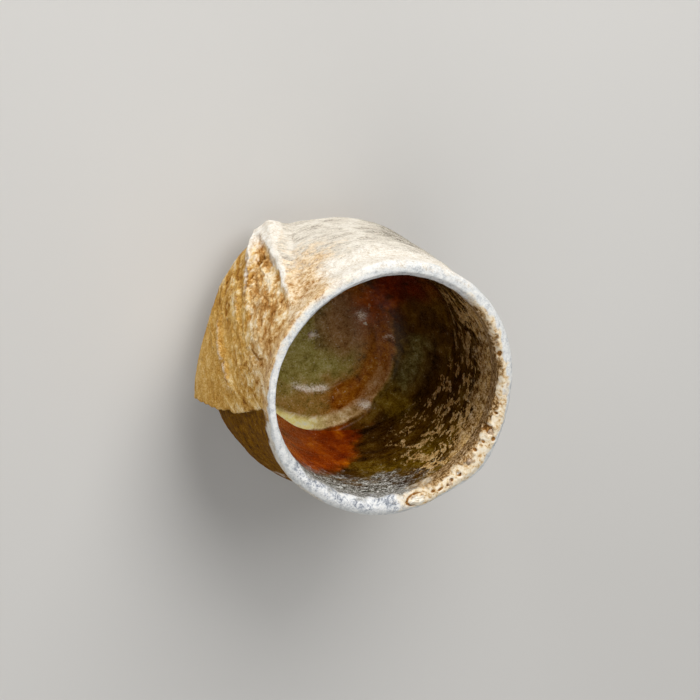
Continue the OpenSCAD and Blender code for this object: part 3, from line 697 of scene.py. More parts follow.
def outside_masks(A, z):
    """Where the outer clay shows warm, ochre or dark under the ash."""
    A = wrap(A)
    P = polar(30.0, A, z)
    n = fbm(P[..., 0] * 0.10, P[..., 1] * 0.10, P[..., 2] * 0.10 + 5, 3)
    n2 = fbm(P[..., 0] * 0.35, P[..., 1] * 0.35, P[..., 2] * 0.35 + 2, 3)
    torn = np.radians(A - torn_a(z)) * 31
    dc = np.radians(A - crest_a(z)) * 31
    under = sst(10.5, 6.0, z)
    dark = sst(-0.6 - 9 * under, 0.8 + 7 * under, torn + under * (14 * n + 6 * n2)) * (1 - sst(54, 112, A + 22 * n + 8 * n2)) * (1 - sst(50.0, 57.0, z + 5 * n + 2 * n2))
    worn = fbm(P[..., 0] * 0.07, P[..., 1] * 0.07, P[..., 2] * 0.10 + 44, 3)
    dark = dark * (1 - 0.62 * sst(34, 62, A + 10 * n) * sst(-0.04, 0.22, worn + 0.35 * n2))
    ochre = sst(-1.0, 3.5, dc + 3.0 * n + 1.6 * n2) * (1 - sst(-0.2, 1.0, torn)) * (1 - 0.9 * sst(10.0, 7.5, z + 2 * n)) * (1 - 0.45 * sst(46, 54, z + 4 * n))
    pale = np.clip(0.85 * sst(28, 48, z + 12 * n + 4 * n2), 0, 1) * np.ones_like(A)
    # warm mottling spreads from the welt along the lip and dies out on the ashy top
    tan = (0.70 + 0.25 * sst(38, 48, z)) * (1 - sst(5, 22, -dc + 7 * n)) * sst(18, 38, z + 9 * n + 3 * n2) * (A < torn_a(z) + 5)
    tan = np.maximum(tan, 0.46 * (1 - sst(0, 6, -dc)) * (A < 0))
    big = fbm(P[..., 0] * 0.045, P[..., 1] * 0.045, P[..., 2] * 0.07 + 12, 3)
    tan = np.maximum(tan, window(wrap(A - 128) + 26 * n + 8 * n2, -80, -30, 22, 78) * (0.30 + 0.55 * sst(-0.22, 0.22, big + 0.25 * n2)))
    tan = np.maximum(tan, 0.55 * (1 - sst(6, 11, z + 3 * n)))
    w = np.radians(A - 1.15 * z) * 31.0
    # paler between the folds, warmer towards the torn corner
    pale = np.maximum(pale * (1 - 0.75 * sst(-6, 14, w + 36.1 + 4 * n)), 0.8 * sst(-2, 4, -(w + 36.1) + 4 * n) * sst(-1, 3, dc))
    # ash thins out to grey away from the welt, low on the wall
    grey = 0.75 * sst(14, 34, -dc + 8 * n) * sst(46, 26, z + 8 * n + 4 * n2) * (A < 0)
    grey = np.maximum(grey, 0.5 * window(wrap(A + 168) + 30 * n + 8 * n2, -50, -10, 20, 60) * sst(54, 30, z + 8 * n))
    # on the far side ash has run down from the lip
    arc = np.radians(A) * 30.5
    far = sst(70, 110, np.abs(wrap(A - 165)) * -1 + 165)
    foot = 26 + 16 * perlin(arc * 0.11, 2.0, 6.0) + 9 * perlin(arc * 0.33, 5.0, 1.0)
    run = far * sst(-5, 7, z - foot) * (0.35 + 0.65 * sst(-0.25, 0.2, perlin(arc * 0.16, z * 0.015, 3.0) + 0.35 * perlin(arc * 0.5, z * 0.03, 8.0)))
    crease = creases(A, z)[0] * np.maximum(tan, ochre) * (A > -115) * (A < 25) * (1 - 0.7 * sst(50, 54, z))
    return dict(m_tan=tan, m_dark=dark, m_ochre=ochre, m_pale=pale, m_grey=grey, m_crease_and_shade=crease, m_run=run), np.stack(np.broadcast_arrays(w, z, 0.0), -1)


def top_white(A, z):
    """The whitest ash, on one shoulder under the lip."""
    P = polar(30.0, A, z)
    return 0.75 * window(wrap(A + 108), -45, -22, 34, 60) * sst(33, 47, z + 5 * fbm(P[..., 0] * 0.15, P[..., 1] * 0.15, P[..., 2] * 0.15, 3))


# ------------------------------------------------------------------ cup_wall

def build_wall():
    n, rows = 640, 132
    A = np.linspace(-180, 180, n, endpoint=False)[None, :]
    zo = FOOT_H + (CRUST_Z - FOOT_H) * (0.55 * np.linspace(0, 1, rows) + 0.45 * np.linspace(0, 1, rows) ** 1.35)
    zo = zo[:, None]
    relief = wall_relief(A, zo) * sst(FOOT_H, FOOT_H + 1.5, zo)
    outer = polar(wall_r(A, zo) + relief, A, zo)
    hid = []
    for rr, zz in ([(LIP_OUT - 0.8, CRUST_Z), (LIP_OUT - 0.8, LIP_Z - 1.0), (LIP_OUT - 1.0, LIP_Z - 0.35), (28.15, LIP_Z - 0.12), (LIP_IN + 0.75, LIP_Z - 0.35), (LIP_IN + 0.6, LIP_Z - 1.0)]
                   + [(float(cav_r(q)) + 0.02, q) for q in (50, 44, 37, 30, 24, 19, 15.5, 13, DISC_TOP)]
                   + [(FLOOR_R + SLIP, DISC_TOP), (FLOOR_R + SLIP, LEDGE_Z), (LEDGE_R + SLIP, LEDGE_Z), (LEDGE_R + SLIP, FOOT_H), (0.5 * (LEDGE_R + BASE_R), FOOT_H)]):
        hid.append(polar(rr, A, zz)[0])
    V = np.concatenate([outer, np.array(hid)], axis=0)
    total = V.shape[0]
    masks, uvw = outside_masks(np.broadcast_to(A, (rows, n)), np.broadcast_to(zo, (rows, n)))
    # painted shade: the low spots of the relief are coloured brown as if shadowed
    masks["m_pits_and_shade"] = np.clip(-(relief + 0.12) * 2.2, 0, 1) * 0.5
    # painted light and shade: paler where the relief stands up, darker where it sinks
    masks["m_relief_shade"] = np.clip(0.5 + relief / 0.9, 0, 1)
    masks["m_white"] = top_white(A, zo)

    def full(v):
        o = np.zeros((total, n) + v.shape[2:])
        o[:rows] = v
        return o.reshape((-1,) + v.shape[2:])

    attrs = {k: full(v) for k, v in masks.items()}
    attrs["slab_uvw"] = full(uvw)
    verts = V.reshape(-1, 3)
    quads = outward(verts, grid_quads(total, n, True, True))
    return make_piece("cup_wall_visual", verts, quads, attrs, M_WALL, "cup_wall")


# ------------------------------------------------------------------ outer_slab

def build_slab():
    nu, nt = 262, 188
    u = np.linspace(0, 1, nu)[None, :]
    t = np.linspace(0, 1, nt)[:, None]
    U, T = np.broadcast_arrays(u, t)
    A, z, ri, ro, f = slab_fields(U, T)
    # the outer face rolls over towards its torn edge and its foot
    roll = np.minimum((1 - U) / 0.012, T / 0.016)
    roll = np.sqrt(np.clip(1 - (1 - np.clip(roll, 0, 1)) ** 2, 0, 1))
    ro = ri + (ro - ri) * (0.35 + 0.65 * roll)
    outer, inner = polar(ro, A, z), polar(ri, A, z)
    verts = np.concatenate([outer.reshape(-1, 3), inner.reshape(-1, 3)])
    N = nu * nt
    q1 = grid_quads(nt, nu, False, False)
    q2 = grid_quads(nt, nu, False, False, N)[:, ::-1]
    idx = np.arange(N).reshape(nt, nu)
    loop = np.concatenate([idx[0, :-1], idx[:-1, -1], idx[-1, :0:-1], idx[:0:-1, 0]])
    nxt = np.roll(loop, -1)
    side = np.stack([nxt, loop, loop + N, nxt + N], -1)
    quads = outward(verts, np.concatenate([q1, q2, side]))
    masks, uvw = outside_masks(A, z)
    zero = np.zeros(N)
    # painted shade: the ragged hollow, the tear and the small torn holes are coloured darker brown
    masks["m_pits_and_shade"] = np.clip(0.85 * f["cav"] + 0.7 * f["hole"], 0, 1)
    masks["m_white"] = f["white"]
    masks["m_relief_shade"] = f["relief_shade"]
    masks["m_calm"] = f["calm"]
    # this mask also carries painted shade in the hollow beside the third fold
    masks["m_crease_and_shade"] = np.maximum(f["crease"], 0.75 * f["scar"] * sst(-0.1, 0.4, fbm(np.radians(A) * 31 * 0.5, z * 0.5, 2.0, 3)))
    attrs = {k: np.concatenate([v.ravel(), zero]) for k, v in masks.items()}
    attrs["m_dark"] = np.concatenate([zero, zero + 1])
    attrs["slab_uvw"] = np.concatenate([uvw.reshape(-1, 3)] * 2)
    return make_piece("outer_slab_visual", verts, quads, attrs, M_SLAB, "outer_slab")


# ------------------------------------------------------------------ rim_ash_crust

# angle, radius, length along the lip, width across it, depth, turn
PITS = [(153, 26.9, 0.85, 1.5, 1.0, 20), (150, 29.2, 0.6, 0.6, 0.5, 0), (146.5, 27.4, 0.35, 0.45, 0.4, 0), (141, 27.0, 0.4, 0.55, 0.5, 10), (134, 27.6, 0.4, 0.7, 0.6, 30),
        (127, 28.1, 0.5, 0.75, 0.8, -20), (122.5, 28.0, 0.5, 0.42, 0.55, 0), (119.5, 28.5, 0.42, 0.36, 0.5, 0), (115.5, 28.3, 0.85, 0.35, 0.45, 0), (112, 27.8, 0.55, 0.3, 0.4, 0),
        (162, 27.2, 0.35, 0.45, 0.4, 0), (-167, 27.0, 0.7, 0.5, 0.4, 25)]
CHUNK = (103.0, 28.0, 2.2, 1.2)


def build_crust():
    n, rows = 920, 74
    A = np.linspace(-180, 180, n, endpoint=False)
    C = crust_curve(A, rows)                      # rows, n, (r, z)
    r, z = C[..., 0], C[..., 1]
    AA = np.broadcast_to(A[None, :], r.shape)
    P = polar(r, AA, z)
    T = np.gradient(C, axis=0)
    L = np.hypot(T[..., 0], T[..., 1]) + 1e-9
    nr, nz = T[..., 1] / L, -T[..., 0] / L        # outward in the section
    x, y, zz = P[..., 0], P[..., 1], P[..., 2]
    v = np.linspace(0, 1, rows)[:, None] * np.ones_like(r)
    n1 = fbm(x * 0.12, y * 0.12, zz * 0.12, 3)
    nn = fbm(x * 0.3, y * 0.3, zz * 0.3 + 9, 3)
    warm = window(wrap(AA - 134) + 22 * n1, -56, -24, 30, 60)
    right = window(wrap(AA - 165) + 22 * n1 + 8 * nn, -70, -40, 42, 78)
    low = window(wrap(AA - 62) + 14 * n1, -44, -24, 34, 56)
    lumps = fbm(x * 0.22, y * 0.22, zz * 0.22, 3)
    grit = fbm(x * 1.2, y * 1.2, zz * 1.2 + 4, 3, 0.6)
    crag = fbm(x * 0.55, y * 0.55, zz * 0.55 + 8, 3, 0.6)
    d = 0.20 * lumps + (0.06 + 0.12 * warm + 0.10 * low) * grit + (0.06 + 0.16 * right * sst(0.5, 0.8, v)) * crag
    pit_and_shade = np.zeros_like(r)
    jit = 0.22 * fbm(x * 1.5, y * 1.5, zz * 1.5, 2)
    for a, pr, la, lr, dep, turn in PITS:
        da, dr = np.radians(wrap(AA - a)) * pr, r - pr
        c, sn = math.cos(math.radians(turn)), math.sin(math.radians(turn))
        q = np.hypot((da * c + dr * sn) / (1.35 * la), (dr * c - da * sn) / (1.35 * lr)) + 1.6 * jit
        on = sst(1.1, 0.35, q) * (z > 52.6)
        d = d - 0.8 * dep * on + 0.03 * bell(q - 1.25, 0.25) * (z > 52.6)
        pit_and_shade = np.maximum(pit_and_shade, on)
    # a groove with a brown rim round the big stone
    q = np.hypot(np.radians(wrap(AA - CHUNK[0])) * CHUNK[1] / CHUNK[2], (r - CHUNK[1]) / CHUNK[3]) + 0.9 * jit
    moat = bell(q - 1.12, 0.2) * (z > 53.5)
    d = d - 0.32 * moat
    pit_and_shade = np.maximum(pit_and_shade, 0.9 * moat * sst(-1.0, 0.6, (CHUNK[0] - AA) / 4 - (r - CHUNK[1]) * 0.5 + 0.2))
    f1, f2, cid = worley(x * 0.8, y * 0.8, zz * 0.8)
    small = sst(0.30, 0.08, f1) * (cid > 0.80) * np.maximum(0.6 * warm, right * sst(0.5, 0.7, v))
    d = d - 0.22 * small
    pit_and_shade = np.maximum(0.85 * pit_and_shade, 0.6 * small)
    ends = np.clip(np.minimum(np.arange(rows), rows - 1 - np.arange(rows)) / 4.0, 0, 1)[:, None]
    out = polar(r + nr * d * ends, AA, z + nz * d * ends)
    hid = [polar(rr, A, q) for rr, q in [(LIP_IN - 0.02, CRUST_IN_Z), (LIP_IN + 0.55, LIP_Z - 1.0), (LIP_IN + 0.7, LIP_Z - 0.3), (28.15, LIP_Z - 0.07), (LIP_OUT - 0.95, LIP_Z - 0.3), (LIP_OUT - 0.75, LIP_Z - 1.0), (LIP_OUT - 0.75, CRUST_Z)]]
    V = np.concatenate([out, np.array(hid)], axis=0)
    total = V.shape[0]
    masks, uvw = outside_masks(AA, z)
    # on the side of the slab only the top of the lip is white
    slabby = window(wrap(AA), -75, -45, 45, 75)
    v0 = 0.10 + 0.17 * slabby
    masks["m_rim"] = sst(v0 - 0.10, v0 + 0.18, v + 0.12 * nn) * (1 - 0.45 * window(wrap(AA + 95), -50, -30, 40, 60) * sst(0.62, 0.40, v))
    masks["m_cream"] = np.maximum(warm * sst(0.25 + 0.10 * sst(118, 150, AA), 0.40 + 0.12 * sst(118, 150, AA), v + 0.10 * nn), 0.42 * window(wrap(AA + 45), -45, -25, 25, 45) * sst(0.62, 0.40, v))
    masks["m_speck"] = low * sst(0.3, 0.6, v + 0.1 * nn)
    # the right side: only the outer edge is white, the inner half is stained tan and then brown
    side = window(wrap(AA - 178) + 16 * n1, -64, -34, 30, 62)
    masks["m_cream"] = np.maximum(masks["m_cream"], 0.95 * side * sst(0.43, 0.58, v + 0.20 * nn))
    corner = window(AA + 8 * n1, 106, 122, 146, 162)
    masks["m_turn"] = right * sst(0.44 + 0.12 * corner, 0.84 + 0.06 * corner, v + 0.34 * nn)
    masks["m_pepper"] = low * sst(0.60, 0.96, v + 0.36 * nn)
    masks["m_turn"] = np.maximum(masks["m_turn"], 0.8 * window(wrap(AA + 100), -60, -40, 40, 70) * sst(0.76, 0.92, v + 0.10 * nn))
    masks["m_pits_and_shade"] = pit_and_shade
    masks["m_white"] = top_white(AA, z)
    masks["m_relief_shade"] = 0.5 + 0 * v

    def full(q):
        o = np.zeros((total, n) + q.shape[2:])
        o[:rows] = q
        return o.reshape((-1,) + q.shape[2:])

    attrs = {k: full(q) for k, q in masks.items()}
    attrs["slab_uvw"] = full(uvw)
    verts = V.reshape(-1, 3)
    quads = outward(verts, grid_quads(total, n, True, True))
    return make_piece("rim_ash_crust_visual", verts, quads, attrs, M_CRUST, "rim_ash_crust")


# ------------------------------------------------------------------ glaze_pool

RING_C, RING_R = (3.6, -0.2), 12.6
LEDGE_C, LEDGE_RAD = (4.2, 2.4), 19.4


def pool_top(x, y):
    r1 = np.hypot(x - RING_C[0], y - RING_C[1])
    r2 = np.hypot(x - LEDGE_C[0], y - LEDGE_C[1])
    wob = 0.5 * perlin(x * 0.15, y * 0.15, 1.0)
    # the rings are crisp on one side and melt into a slope on the other
    far = window(wrap(np.degrees(np.arctan2(y - LEDGE_C[1], x - LEDGE_C[0])) + 142), -72, -30, 48, 84)
    z = DISC_TOP + 0.55 + 0.85 * sst(RING_R - 0.9 - 3.0 * far, RING_R + 0.7 + 1.0 * far, r1 + wob) - 0.25 * (1 - far) * bell(r1 - RING_R - 1.9, 1.4)
    z = z + 1.9 * sst(LEDGE_RAD - 1.6 - 2.6 * far, LEDGE_RAD + 0.4 + 0.8 * far, r2 + 0.6 * wob) - 0.15 * (1 - far) * bell(r2 - LEDGE_RAD + 2.4, 1.2)
    over = np.maximum(r2 - LEDGE_RAD - 0.3, 0)
    z = z - 0.9 * (1 - far) * bell(r2 - LEDGE_RAD - 1.9, 1.1) + 0.30 * over + 0.045 * over ** 2 + 0.006 * over ** 3
    return z + 0.16 * fbm(x * 0.16, y * 0.16, 4.0, 3) + 0.07 * fbm(x * 0.7, y * 0.7, 2.0, 3, 0.6)


def pool_edge(A):
    """Radius and height at which the pool meets the lining."""
    c, sn = np.cos(np.radians(A)), np.sin(np.radians(A))
    r = np.full(np.shape(A), 22.9)
    for _ in range(8):
        r = 0.5 * r + 0.5 * (lin_r(pool_top(r * c, r * sn)) - 0.01)
    return r, pool_top(r * c, r * sn)


def build_pool():
    n, rows = 460, 116
    A = np.linspace(-180, 180, n, endpoint=False)
    q = np.linspace(0, 1, rows)[:, None] ** 0.85
    re, ze = pool_edge(A)
    AA, Q = np.broadcast_arrays(A[None, :], q)
    rad = np.maximum(Q * re[None, :], 0.02)
    x, y = rad * np.cos(np.radians(AA)), rad * np.sin(np.radians(AA))
    top = np.stack([x, y, pool_top(x, y)], -1)
    low = DISC_TOP + 0.02
    side = []
    for k in (0.66, 0.33, 0.0):
        zz = low + (ze - low) * k
        side.append(polar(lin_r(zz) - 0.01, A, zz))
    bottom = [polar(k, A, low) for k in (18, 12, 6, 0.02)]
    V = np.concatenate([top, np.array(side), np.array(bottom)], axis=0)
    total = V.shape[0]
    r1 = np.hypot(x - RING_C[0], y - RING_C[1])
    r2 = np.hypot(x - LEDGE_C[0], y - LEDGE_C[1])
    ang = np.degrees(np.arctan2(y - LEDGE_C[1], x - LEDGE_C[0]))
    ns = fbm(x * 0.14, y * 0.14, 9.0, 3)
    nf = fbm(x * 0.4, y * 0.4, 3.0, 3)
    q2 = r2 - LEDGE_RAD + 1.2 * ns + 0.5 * nf
    outside = sst(-0.2, 1.6, q2)
    A0 = np.degrees(np.arctan2(y, x))
    amber = outside * window(A0 + 16 * ns + 8 * nf, -50, -20, 76, 116)
    olive = 0.85 * outside * bell(A0 - 133 + 12 * ns, 9)
    olive = np.maximum(olive, 0.62 * outside * bell(np.hypot((x + 17.8) / 1.7, (y - 4.2) / 3.2) + 0.5 * nf, 1.0))
    r0 = np.hypot(x, y)
    sage = 0.85 * outside * bell(r0 - 20.4 + 1.5 * nf, 1.9) * window(wrap(A0 - 160) + 10 * ns, -28, -14, 16, 28)
    turn = wrap(ang - 90) + 14 * ns + 6 * nf
    floor = (1 - outside) * (1 - 0.5 * sst(60, 110, turn))
    # the ledge's yellow and beige glass are lightened nearly to white, partly as a painted highlight along its edge
    yellow = sst(-3.2, -0.9, q2) * (1 - sst(0.1, 1.2, q2)) * window(turn, -80, -52, -16, 16)
    beige = sst(-3.0, -1.2, q2) * (1 - sst(0.0, 1.2, q2)) * (window(turn, -46, -16, 14, 46) * 0.72 + 0.20 * window(turn, -46, -16, 50, 84))
    pale = bell(np.hypot((x + 8.0) / 1.5, (y - 17.4) / 1.0) + 0.6 * nf, 0.8)
    # crawled pale glass along the inner ring, brightened as a painted highlight where the ring catches the light
    pale = np.maximum(pale, 0.95 * bell(r1 - RING_R - 0.1 + 0.5 * nf, 0.75) * window(ang + 8 * ns, 44, 66, 96, 112))
    # painted highlight: a pale cluster on the floor where a glint falls
    pale = np.maximum(pale, 0.8 * bell(np.hypot(x - 5.0, y + 1.5) + 1.2 * nf, 0.9))
    pale = np.maximum(pale, 0.8 * bell(np.hypot(x + 7.4, y + 5.4) + 1.2 * nf, 1.0))
    pale = np.maximum(pale, 0.4 * bell(np.hypot(x + 14.5, y - 1.0) - 1.0 + 0.6 * nf, 0.4) * sst(1.6, 0.2, y + 0.8 * nf))
    # dark holes in the glass, and two wider dark patches near the wall around x -14 to -18, y -10 that are painted
    # shade
    hole = np.maximum(0.36 * bell(np.hypot(x + 16.4, y + 6.4) + 0.8 * nf, 1.5), 0.72 * bell(np.hypot(x + 14.5, y - 1.0) + 0.3 * nf, 0.65))
    hole = np.maximum(hole, 0.55 * bell(np.hypot(x + 17.6, y + 10.6) + 0.8 * nf, 2.2))
    hole = np.maximum(hole, 0.80 * bell(np.hypot(x + 13.8, y + 10.4) + 0.5 * nf, 1.0))
    brown = sst(-4.2, 3.4, r1 - RING_R + 2.8 * ns + 1.4 * nf) * (0.45 * window(turn, -70, -20, 20, 60) + 0.95 * window(turn, -10, 44, 150, 178)) * (1 - outside)
    brown = np.clip(brown, 0, 1)
    plum = 0.95 * sst(13.0, 4, np.hypot(x + 4.6, y + 4.4) + 4 * ns) * (1 - outside)
    red = 0.92 * sst(9.0, 3.0, np.hypot(x + 14.5, (y + 13.0) / 1.2) + 2 * ns + nf) * sst(-158, -147, A0)
    red = np.maximum(red, 0.34 * sst(11.5, 5.0, np.hypot(x + 10.5, y + 8.0) + 2 * ns + nf))
    amber = np.maximum(amber, 0.46 * sst(6.8, 2.5, np.hypot(x + 10.6, y + 8.6) + 2 * ns + nf))
    bits = (1 - outside) * (0.40 + 0.35 * sst(-6, 3, x))

    def full(v):
        o = np.zeros((total, n))
        o[:rows] = v
        return o.ravel()

    verts = V.reshape(-1, 3)
    quads = outward(verts, grid_quads(total, n, True, True))
    attrs = dict(m_yellow=full(yellow), m_beige=full(beige), m_brown=full(brown), m_plum=full(plum), m_red=full(red), m_amber=full(amber), m_olive=full(olive), m_sage=full(sage), m_floor=full(floor), m_pale=full(pale), m_hole=full(hole), m_bits=full(bits))
    return make_piece("glaze_pool_visual", verts, quads, attrs, M_POOL, "glaze_pool")


# ------------------------------------------------------------------ glaze_lining

def build_lining():
    n, rows = 640, 126
    A = np.linspace(-180, 180, n, endpoint=False)[None, :]
    z = np.linspace(DISC_TOP + 0.02, CRUST_IN_Z, rows)[:, None]
    AA, ZZ = np.broadcast_arrays(A, z)
    d, f = lining_fields(AA, ZZ)
    ze = pool_edge(A[0])[1][None, :]
    ends = sst(CRUST_IN_Z, CRUST_IN_Z - 1.2, ZZ) * sst(ze - 0.3, ze + 1.5, ZZ)
    r = lin_r(ZZ) - np.clip(d, -0.22, 0.6) * ends
    inner = polar(r, AA, ZZ)
    hid = [polar(float(cav_r(q)) - 0.01, A, q)[0] for q in (50, 44, 37, 30, 24, 19, 15.5, 13, DISC_TOP + 0.02)]
    V = np.concatenate([inner, np.array(hid)], axis=0)
    total = V.shape[0]
    s = CUP_H - ZZ
    nz = f["n"]
    olive = 0.8 * bell(wrap(AA - 133) + 12 * nz, 8) * sst(28, 38, s + 6 * nz)
    olive = np.maximum(olive, 0.62 * window(s + 5 * nz, 11, 16, 19, 25) * window(wrap(AA - 104), -26, -8, 18, 40))
    sage = 0.7 * window(wrap(AA - 158) + 12 * nz, -26, -12, 12, 24) * sst(36, 43, s + 3 * nz)
    # painted shade: these patches of the inner wall are darkened with the dark hole colour
    shade = 0.4 * window(wrap(AA - 188) + 12 * nz, -24, -6, 28, 46) * window(s + 4 * nz, 15, 24, 41, 47)
    shade = np.maximum(shade, 0.55 * window(wrap(AA + 148) + 10 * nz, -18, -8, 6, 14) * sst(28, 37, s + 4 * nz))
    red = 0.9 * window(wrap(AA + 125) + 12 * nz, -26, -10, 40, 70) * sst(30, 41, s + 4 * nz)

    def full(q):
        o = np.zeros((total, n))
        o[:rows] = q
        return o.ravel()

    verts = V.reshape(-1, 3)
    quads = outward(verts, grid_quads(total, n, True, True))
    attrs = dict(m_tanned=full(f["tanned"]), m_flake=full(f["flake"]), m_salt=full(f["salt"]), m_amber=full(f["amber"]), m_olive=full(olive), m_sage=full(sage), m_red=full(red), m_hole=full(shade))
    return make_piece("glaze_lining_visual", verts, quads, attrs, M_LINING, "glaze_lining")


# ------------------------------------------------------------------ base_disc and foot_ring

def lathe(profile, n, relief, name, mat, node):
    prof = np.array(profile, float)
    seg = np.roll(prof, -1, axis=0) - prof
    length = np.hypot(seg[:, 0], seg[:, 1])
    pts = []
    for k in range(len(prof)):
        m = max(1, int(round(length[k] / 0.42)))
        for j in range(m):
            pts.append(prof[k] + seg[k] * j / m)
    pts = np.array(pts)
    A = np.linspace(-180, 180, n, endpoint=False)[None, :]
    r, z = pts[:, 0][:, None], pts[:, 1][:, None]
    P = polar(np.maximum(r, 0.02), A, z)
    tang = np.roll(pts, -1, axis=0) - np.roll(pts, 1, axis=0)
    L = np.hypot(tang[:, 0], tang[:, 1]) + 1e-9
    nr, nz = (tang[:, 1] / L)[:, None], (-tang[:, 0] / L)[:, None]
    d = relief(P[..., 0], P[..., 1], P[..., 2])
    V = polar(np.maximum(r + nr * d, 0.02), A, np.broadcast_to(z + nz * d, P.shape[:2]))
    verts = V.reshape(-1, 3)
    quads = outward(verts, grid_quads(len(pts), n, True, True))
    return make_piece(name, verts, quads, {}, mat, node)


def build_base():
    prof = [(0.02, FOOT_H + 0.15), (16.1, FOOT_H + 0.15), (16.15, FOOT_H + 1.0), (18.85, FOOT_H + 1.0), (18.9, FOOT_H + 0.15), (LEDGE_R - 0.05, FOOT_H + 0.15), (LEDGE_R - 0.05, LEDGE_Z + 0.04), (FLOOR_R - 0.05, LEDGE_Z + 0.04), (FLOOR_R - 0.05, DISC_TOP - 0.04), (0.02, DISC_TOP - 0.04)]
    relief = lambda x, y, z: np.where((z < FOOT_H + 0.5) & (np.hypot(x, y) < 15.5), 0.14 * fbm(x * 0.3, y * 0.3, z, 4, 0.6) + 0.12 * np.cos(np.hypot(x - 0.6, y) * 2.4 + np.arctan2(y, x)), 0.0)
    return lathe(prof, 300, relief, "base_disc_visual", M_FOOT, "base_disc")


def build_foot():
    prof = [(15.7, 0.12), (16.3, 0.02), (18.6, 0.02), (19.3, 0.14), (19.85, 0.9), (19.9, 2.2), (19.75, FOOT_H - 0.02), (18.75, FOOT_H - 0.02), (18.75, FOOT_H + 0.85), (16.3, FOOT_H + 0.85), (16.3, FOOT_H - 0.02), (15.05, FOOT_H - 0.02), (15.05, 0.8)]
    relief = lambda x, y, z: np.where(z < FOOT_H - 0.3, sst(0.0, 0.5, z) * (0.10 * fbm(x * 0.35, y * 0.35, z * 1.6, 4, 0.6) - 0.05) , 0.0)
    return lathe(prof, 420, relief, "foot_ring_visual", M_FOOT, "foot_ring")


# ------------------------------------------------------------------ feldspar_grains

GR = 1.5
RIM_MID = (LIP_IN + LIP_OUT) / 2
STONES = ([(a, RIM_MID + dr, CUP_H - 0.9 * GR * k + (0.52 if k == 1 else -0.38), GR * k) for a, dr, k in [(103, 0.0, 1), (121, 0.5, 0.6), (135, -0.5, 0.55), (152, 0.3, 0.8), (60, 0.6, 0.5), (-28, 0, 0.5)]]
          + [(a, r, DISC_TOP + 0.5 + 0.3 * k, GR * k) for a, r, k in [(-17, 5.5, 0.62), (-160, 9.5, 0.66), (178, 13.5, 0.55), (106, 15, 0.45)]])


def build_grains():
    n, rows = 72, 40
    th = np.linspace(0, math.pi, rows)[:, None]
    ph = np.linspace(0, 2 * math.pi, n, endpoint=False)[None, :]
    D = np.stack([np.sin(th) * np.cos(ph), np.sin(th) * np.sin(ph), np.cos(th) * np.ones_like(ph)], -1)
    allv, allq, edge, start = [], [], [], 0
    for k, (a, r, z, s) in enumerate(STONES):
        c = polar(r, a, z)
        lump = 0.80 + 0.42 * fbm(D[..., 0] * 1.3 + 5 * k, D[..., 1] * 1.3, D[..., 2] * 1.3, 3) - 0.12 * sst(0.2, 0.5, np.abs(perlin(D[..., 0] * 2.4 + 9 * k, D[..., 1] * 2.4, D[..., 2] * 2.4)))
        S = D * (lump * s)[..., None] * np.array([0.86, 1.62, 0.85] if k == 0 else [1.0, 1.0, 0.9])
        ca, sa = math.cos(math.radians(a)), math.sin(math.radians(a))
        S = np.stack([S[..., 0] * ca - S[..., 1] * sa, S[..., 0] * sa + S[..., 1] * ca, S[..., 2]], -1)
        V = (S + c).reshape(-1, 3)
        allv.append(V)
        allq.append(outward(S.reshape(-1, 3), grid_quads(rows, n, False, True)) + start)
        stain = 0.7 if k in (1, 2, 3) else 0.0            # the small ones in the lip are stained
        edge.append(np.broadcast_to(np.maximum(stain, sst(0.45, -0.05, D[..., 2]) * 0.9), D.shape[:2]).ravel())
        start += n * rows
    return make_piece("feldspar_grains_visual", np.concatenate(allv), np.concatenate(allq), dict(m_edge=np.concatenate(edge)), M_STONE, "feldspar_grains")


build_wall()
build_slab()
build_crust()
build_lining()
build_pool()
build_base()
build_foot()
build_grains()


# ------------------------------------------------------------------ camera, light and floor

FOCAL_PX = 1900.0
TILT, TURN = math.radians(25.2), math.radians(40.0)
DEPTH = FOCAL_PX * 30.0 / 132.6
AX = np.array([math.sin(TILT) * math.cos(TURN), -math.sin(TILT) * math.sin(TURN), math.cos(TILT)])
ELEV = math.atan2(-AX[1], AX[2])
UP = np.array([0.0, math.cos(ELEV), math.sin(ELEV)])
YR = -UP
XR = np.cross(YR, AX)
MOUTH = np.array([(392.9 - 350) / FOCAL_PX * DEPTH, -(391.0 - 350) / FOCAL_PX * DEPTH, -DEPTH])
BASIS = np.stack([XR, YR, AX])          # rows: the cup's axes seen by the camera


def from_cam(v):
    return BASIS @ np.asarray(v, float)


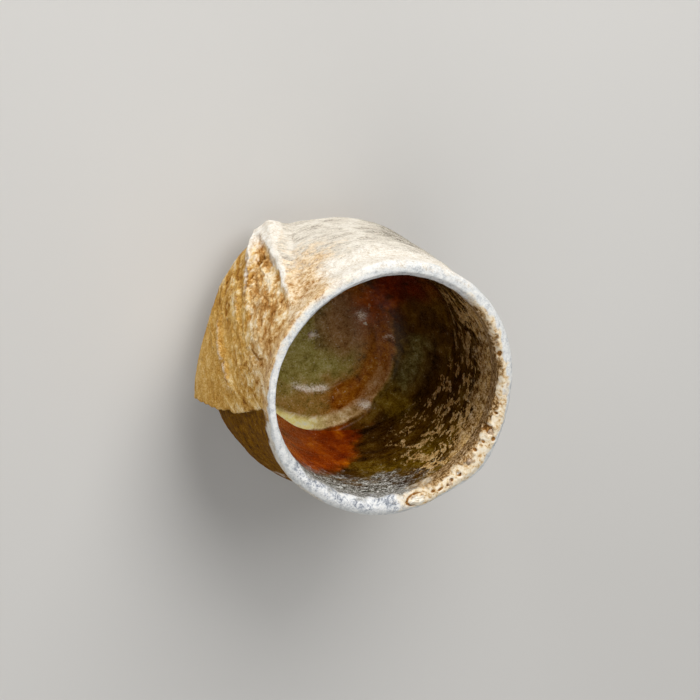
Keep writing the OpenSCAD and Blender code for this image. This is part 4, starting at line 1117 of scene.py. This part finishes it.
cam_pos = np.array([0, 0, CUP_H]) - BASIS @ MOUTH
cam_data = bpy.data.cameras.new("camera")
cam_data.sensor_width = 36.0
cam_data.lens = FOCAL_PX / 700.0 * 36.0
cam_data.clip_start = 0.01
cam_data.clip_end = 100.0
cam = bpy.data.objects.new("camera", cam_data)
bpy.context.scene.collection.objects.link(cam)
import mathutils
R = mathutils.Matrix([[float(from_cam((1, 0, 0))[k]), float(from_cam((0, 1, 0))[k]), float(from_cam((0, 0, 1))[k])] for k in range(3)])
cam.matrix_world = mathutils.Matrix.Translation(mathutils.Vector([float(v) * MM for v in cam_pos])) @ R.to_4x4()
bpy.context.scene.camera = cam

# a plain pale floor under the foot
half = 4.0
fl_me = bpy.data.meshes.new("floor")
fl_me.from_pydata([(half * sx, half * sy, -0.00003) for sx, sy in ((-1, -1), (1, -1), (1, 1), (-1, 1))], [], [(0, 1, 2, 3)])
fl_me.update()
floor = bpy.data.objects.new("floor", fl_me)
bpy.context.scene.collection.objects.link(floor)
fm = bpy.data.materials.new("pale_floor")
fm.use_nodes = True
fb = fm.node_tree.nodes["Principled BSDF"]
fb.inputs["Base Color"].default_value = (0.60, 0.60, 0.595, 1)
fb.inputs["Roughness"].default_value = 0.75
fl_me.materials.append(fm)


def area_light(name, direction, dist, size, watts, colour):
    d = from_cam(direction)
    d /= np.linalg.norm(d)
    aim = np.array([0.0, 0.0, 30.0])
    p = aim + d * dist
    ld = bpy.data.lights.new(name, "AREA")
    ld.shape = "DISK"
    ld.size = size
    ld.energy = watts
    ld.color = colour
    lo = bpy.data.objects.new(name, ld)
    bpy.context.scene.collection.objects.link(lo)
    q = mathutils.Vector([float(v) for v in d]).to_track_quat("Z", "Y")
    lo.matrix_world = mathutils.Matrix.Translation(mathutils.Vector([float(v) * MM for v in p])) @ q.to_matrix().to_4x4()
    return lo


area_light("key", (0.29, 0.66, 0.69), 800, 0.60, 5.3, (1.0, 0.97, 0.93))
area_light("fill", (-0.66, 0.58, 0.48), 900, 0.8, 3.9, (0.99, 0.99, 1.0))
area_light("front", (0.50, 0.24, 0.83), 1100, 0.5, 3.5, (1.0, 0.98, 0.95))
area_light("low", (-0.05, -0.60, 0.80), 900, 0.9, 1.8, (1.0, 0.97, 0.92))
area_light("under", (0.1, -1.0, 0.15), 700, 0.5, 0.8, (1.0, 0.98, 0.95))

world = bpy.data.worlds.new("studio")
bpy.context.scene.world = world
world.use_nodes = True
bg = world.node_tree.nodes["Background"]
bg.inputs[0].default_value = (0.93, 0.93, 0.92, 1)
bg.inputs[1].default_value = 0.12

bpy.context.scene.view_settings.view_transform = "Standard"
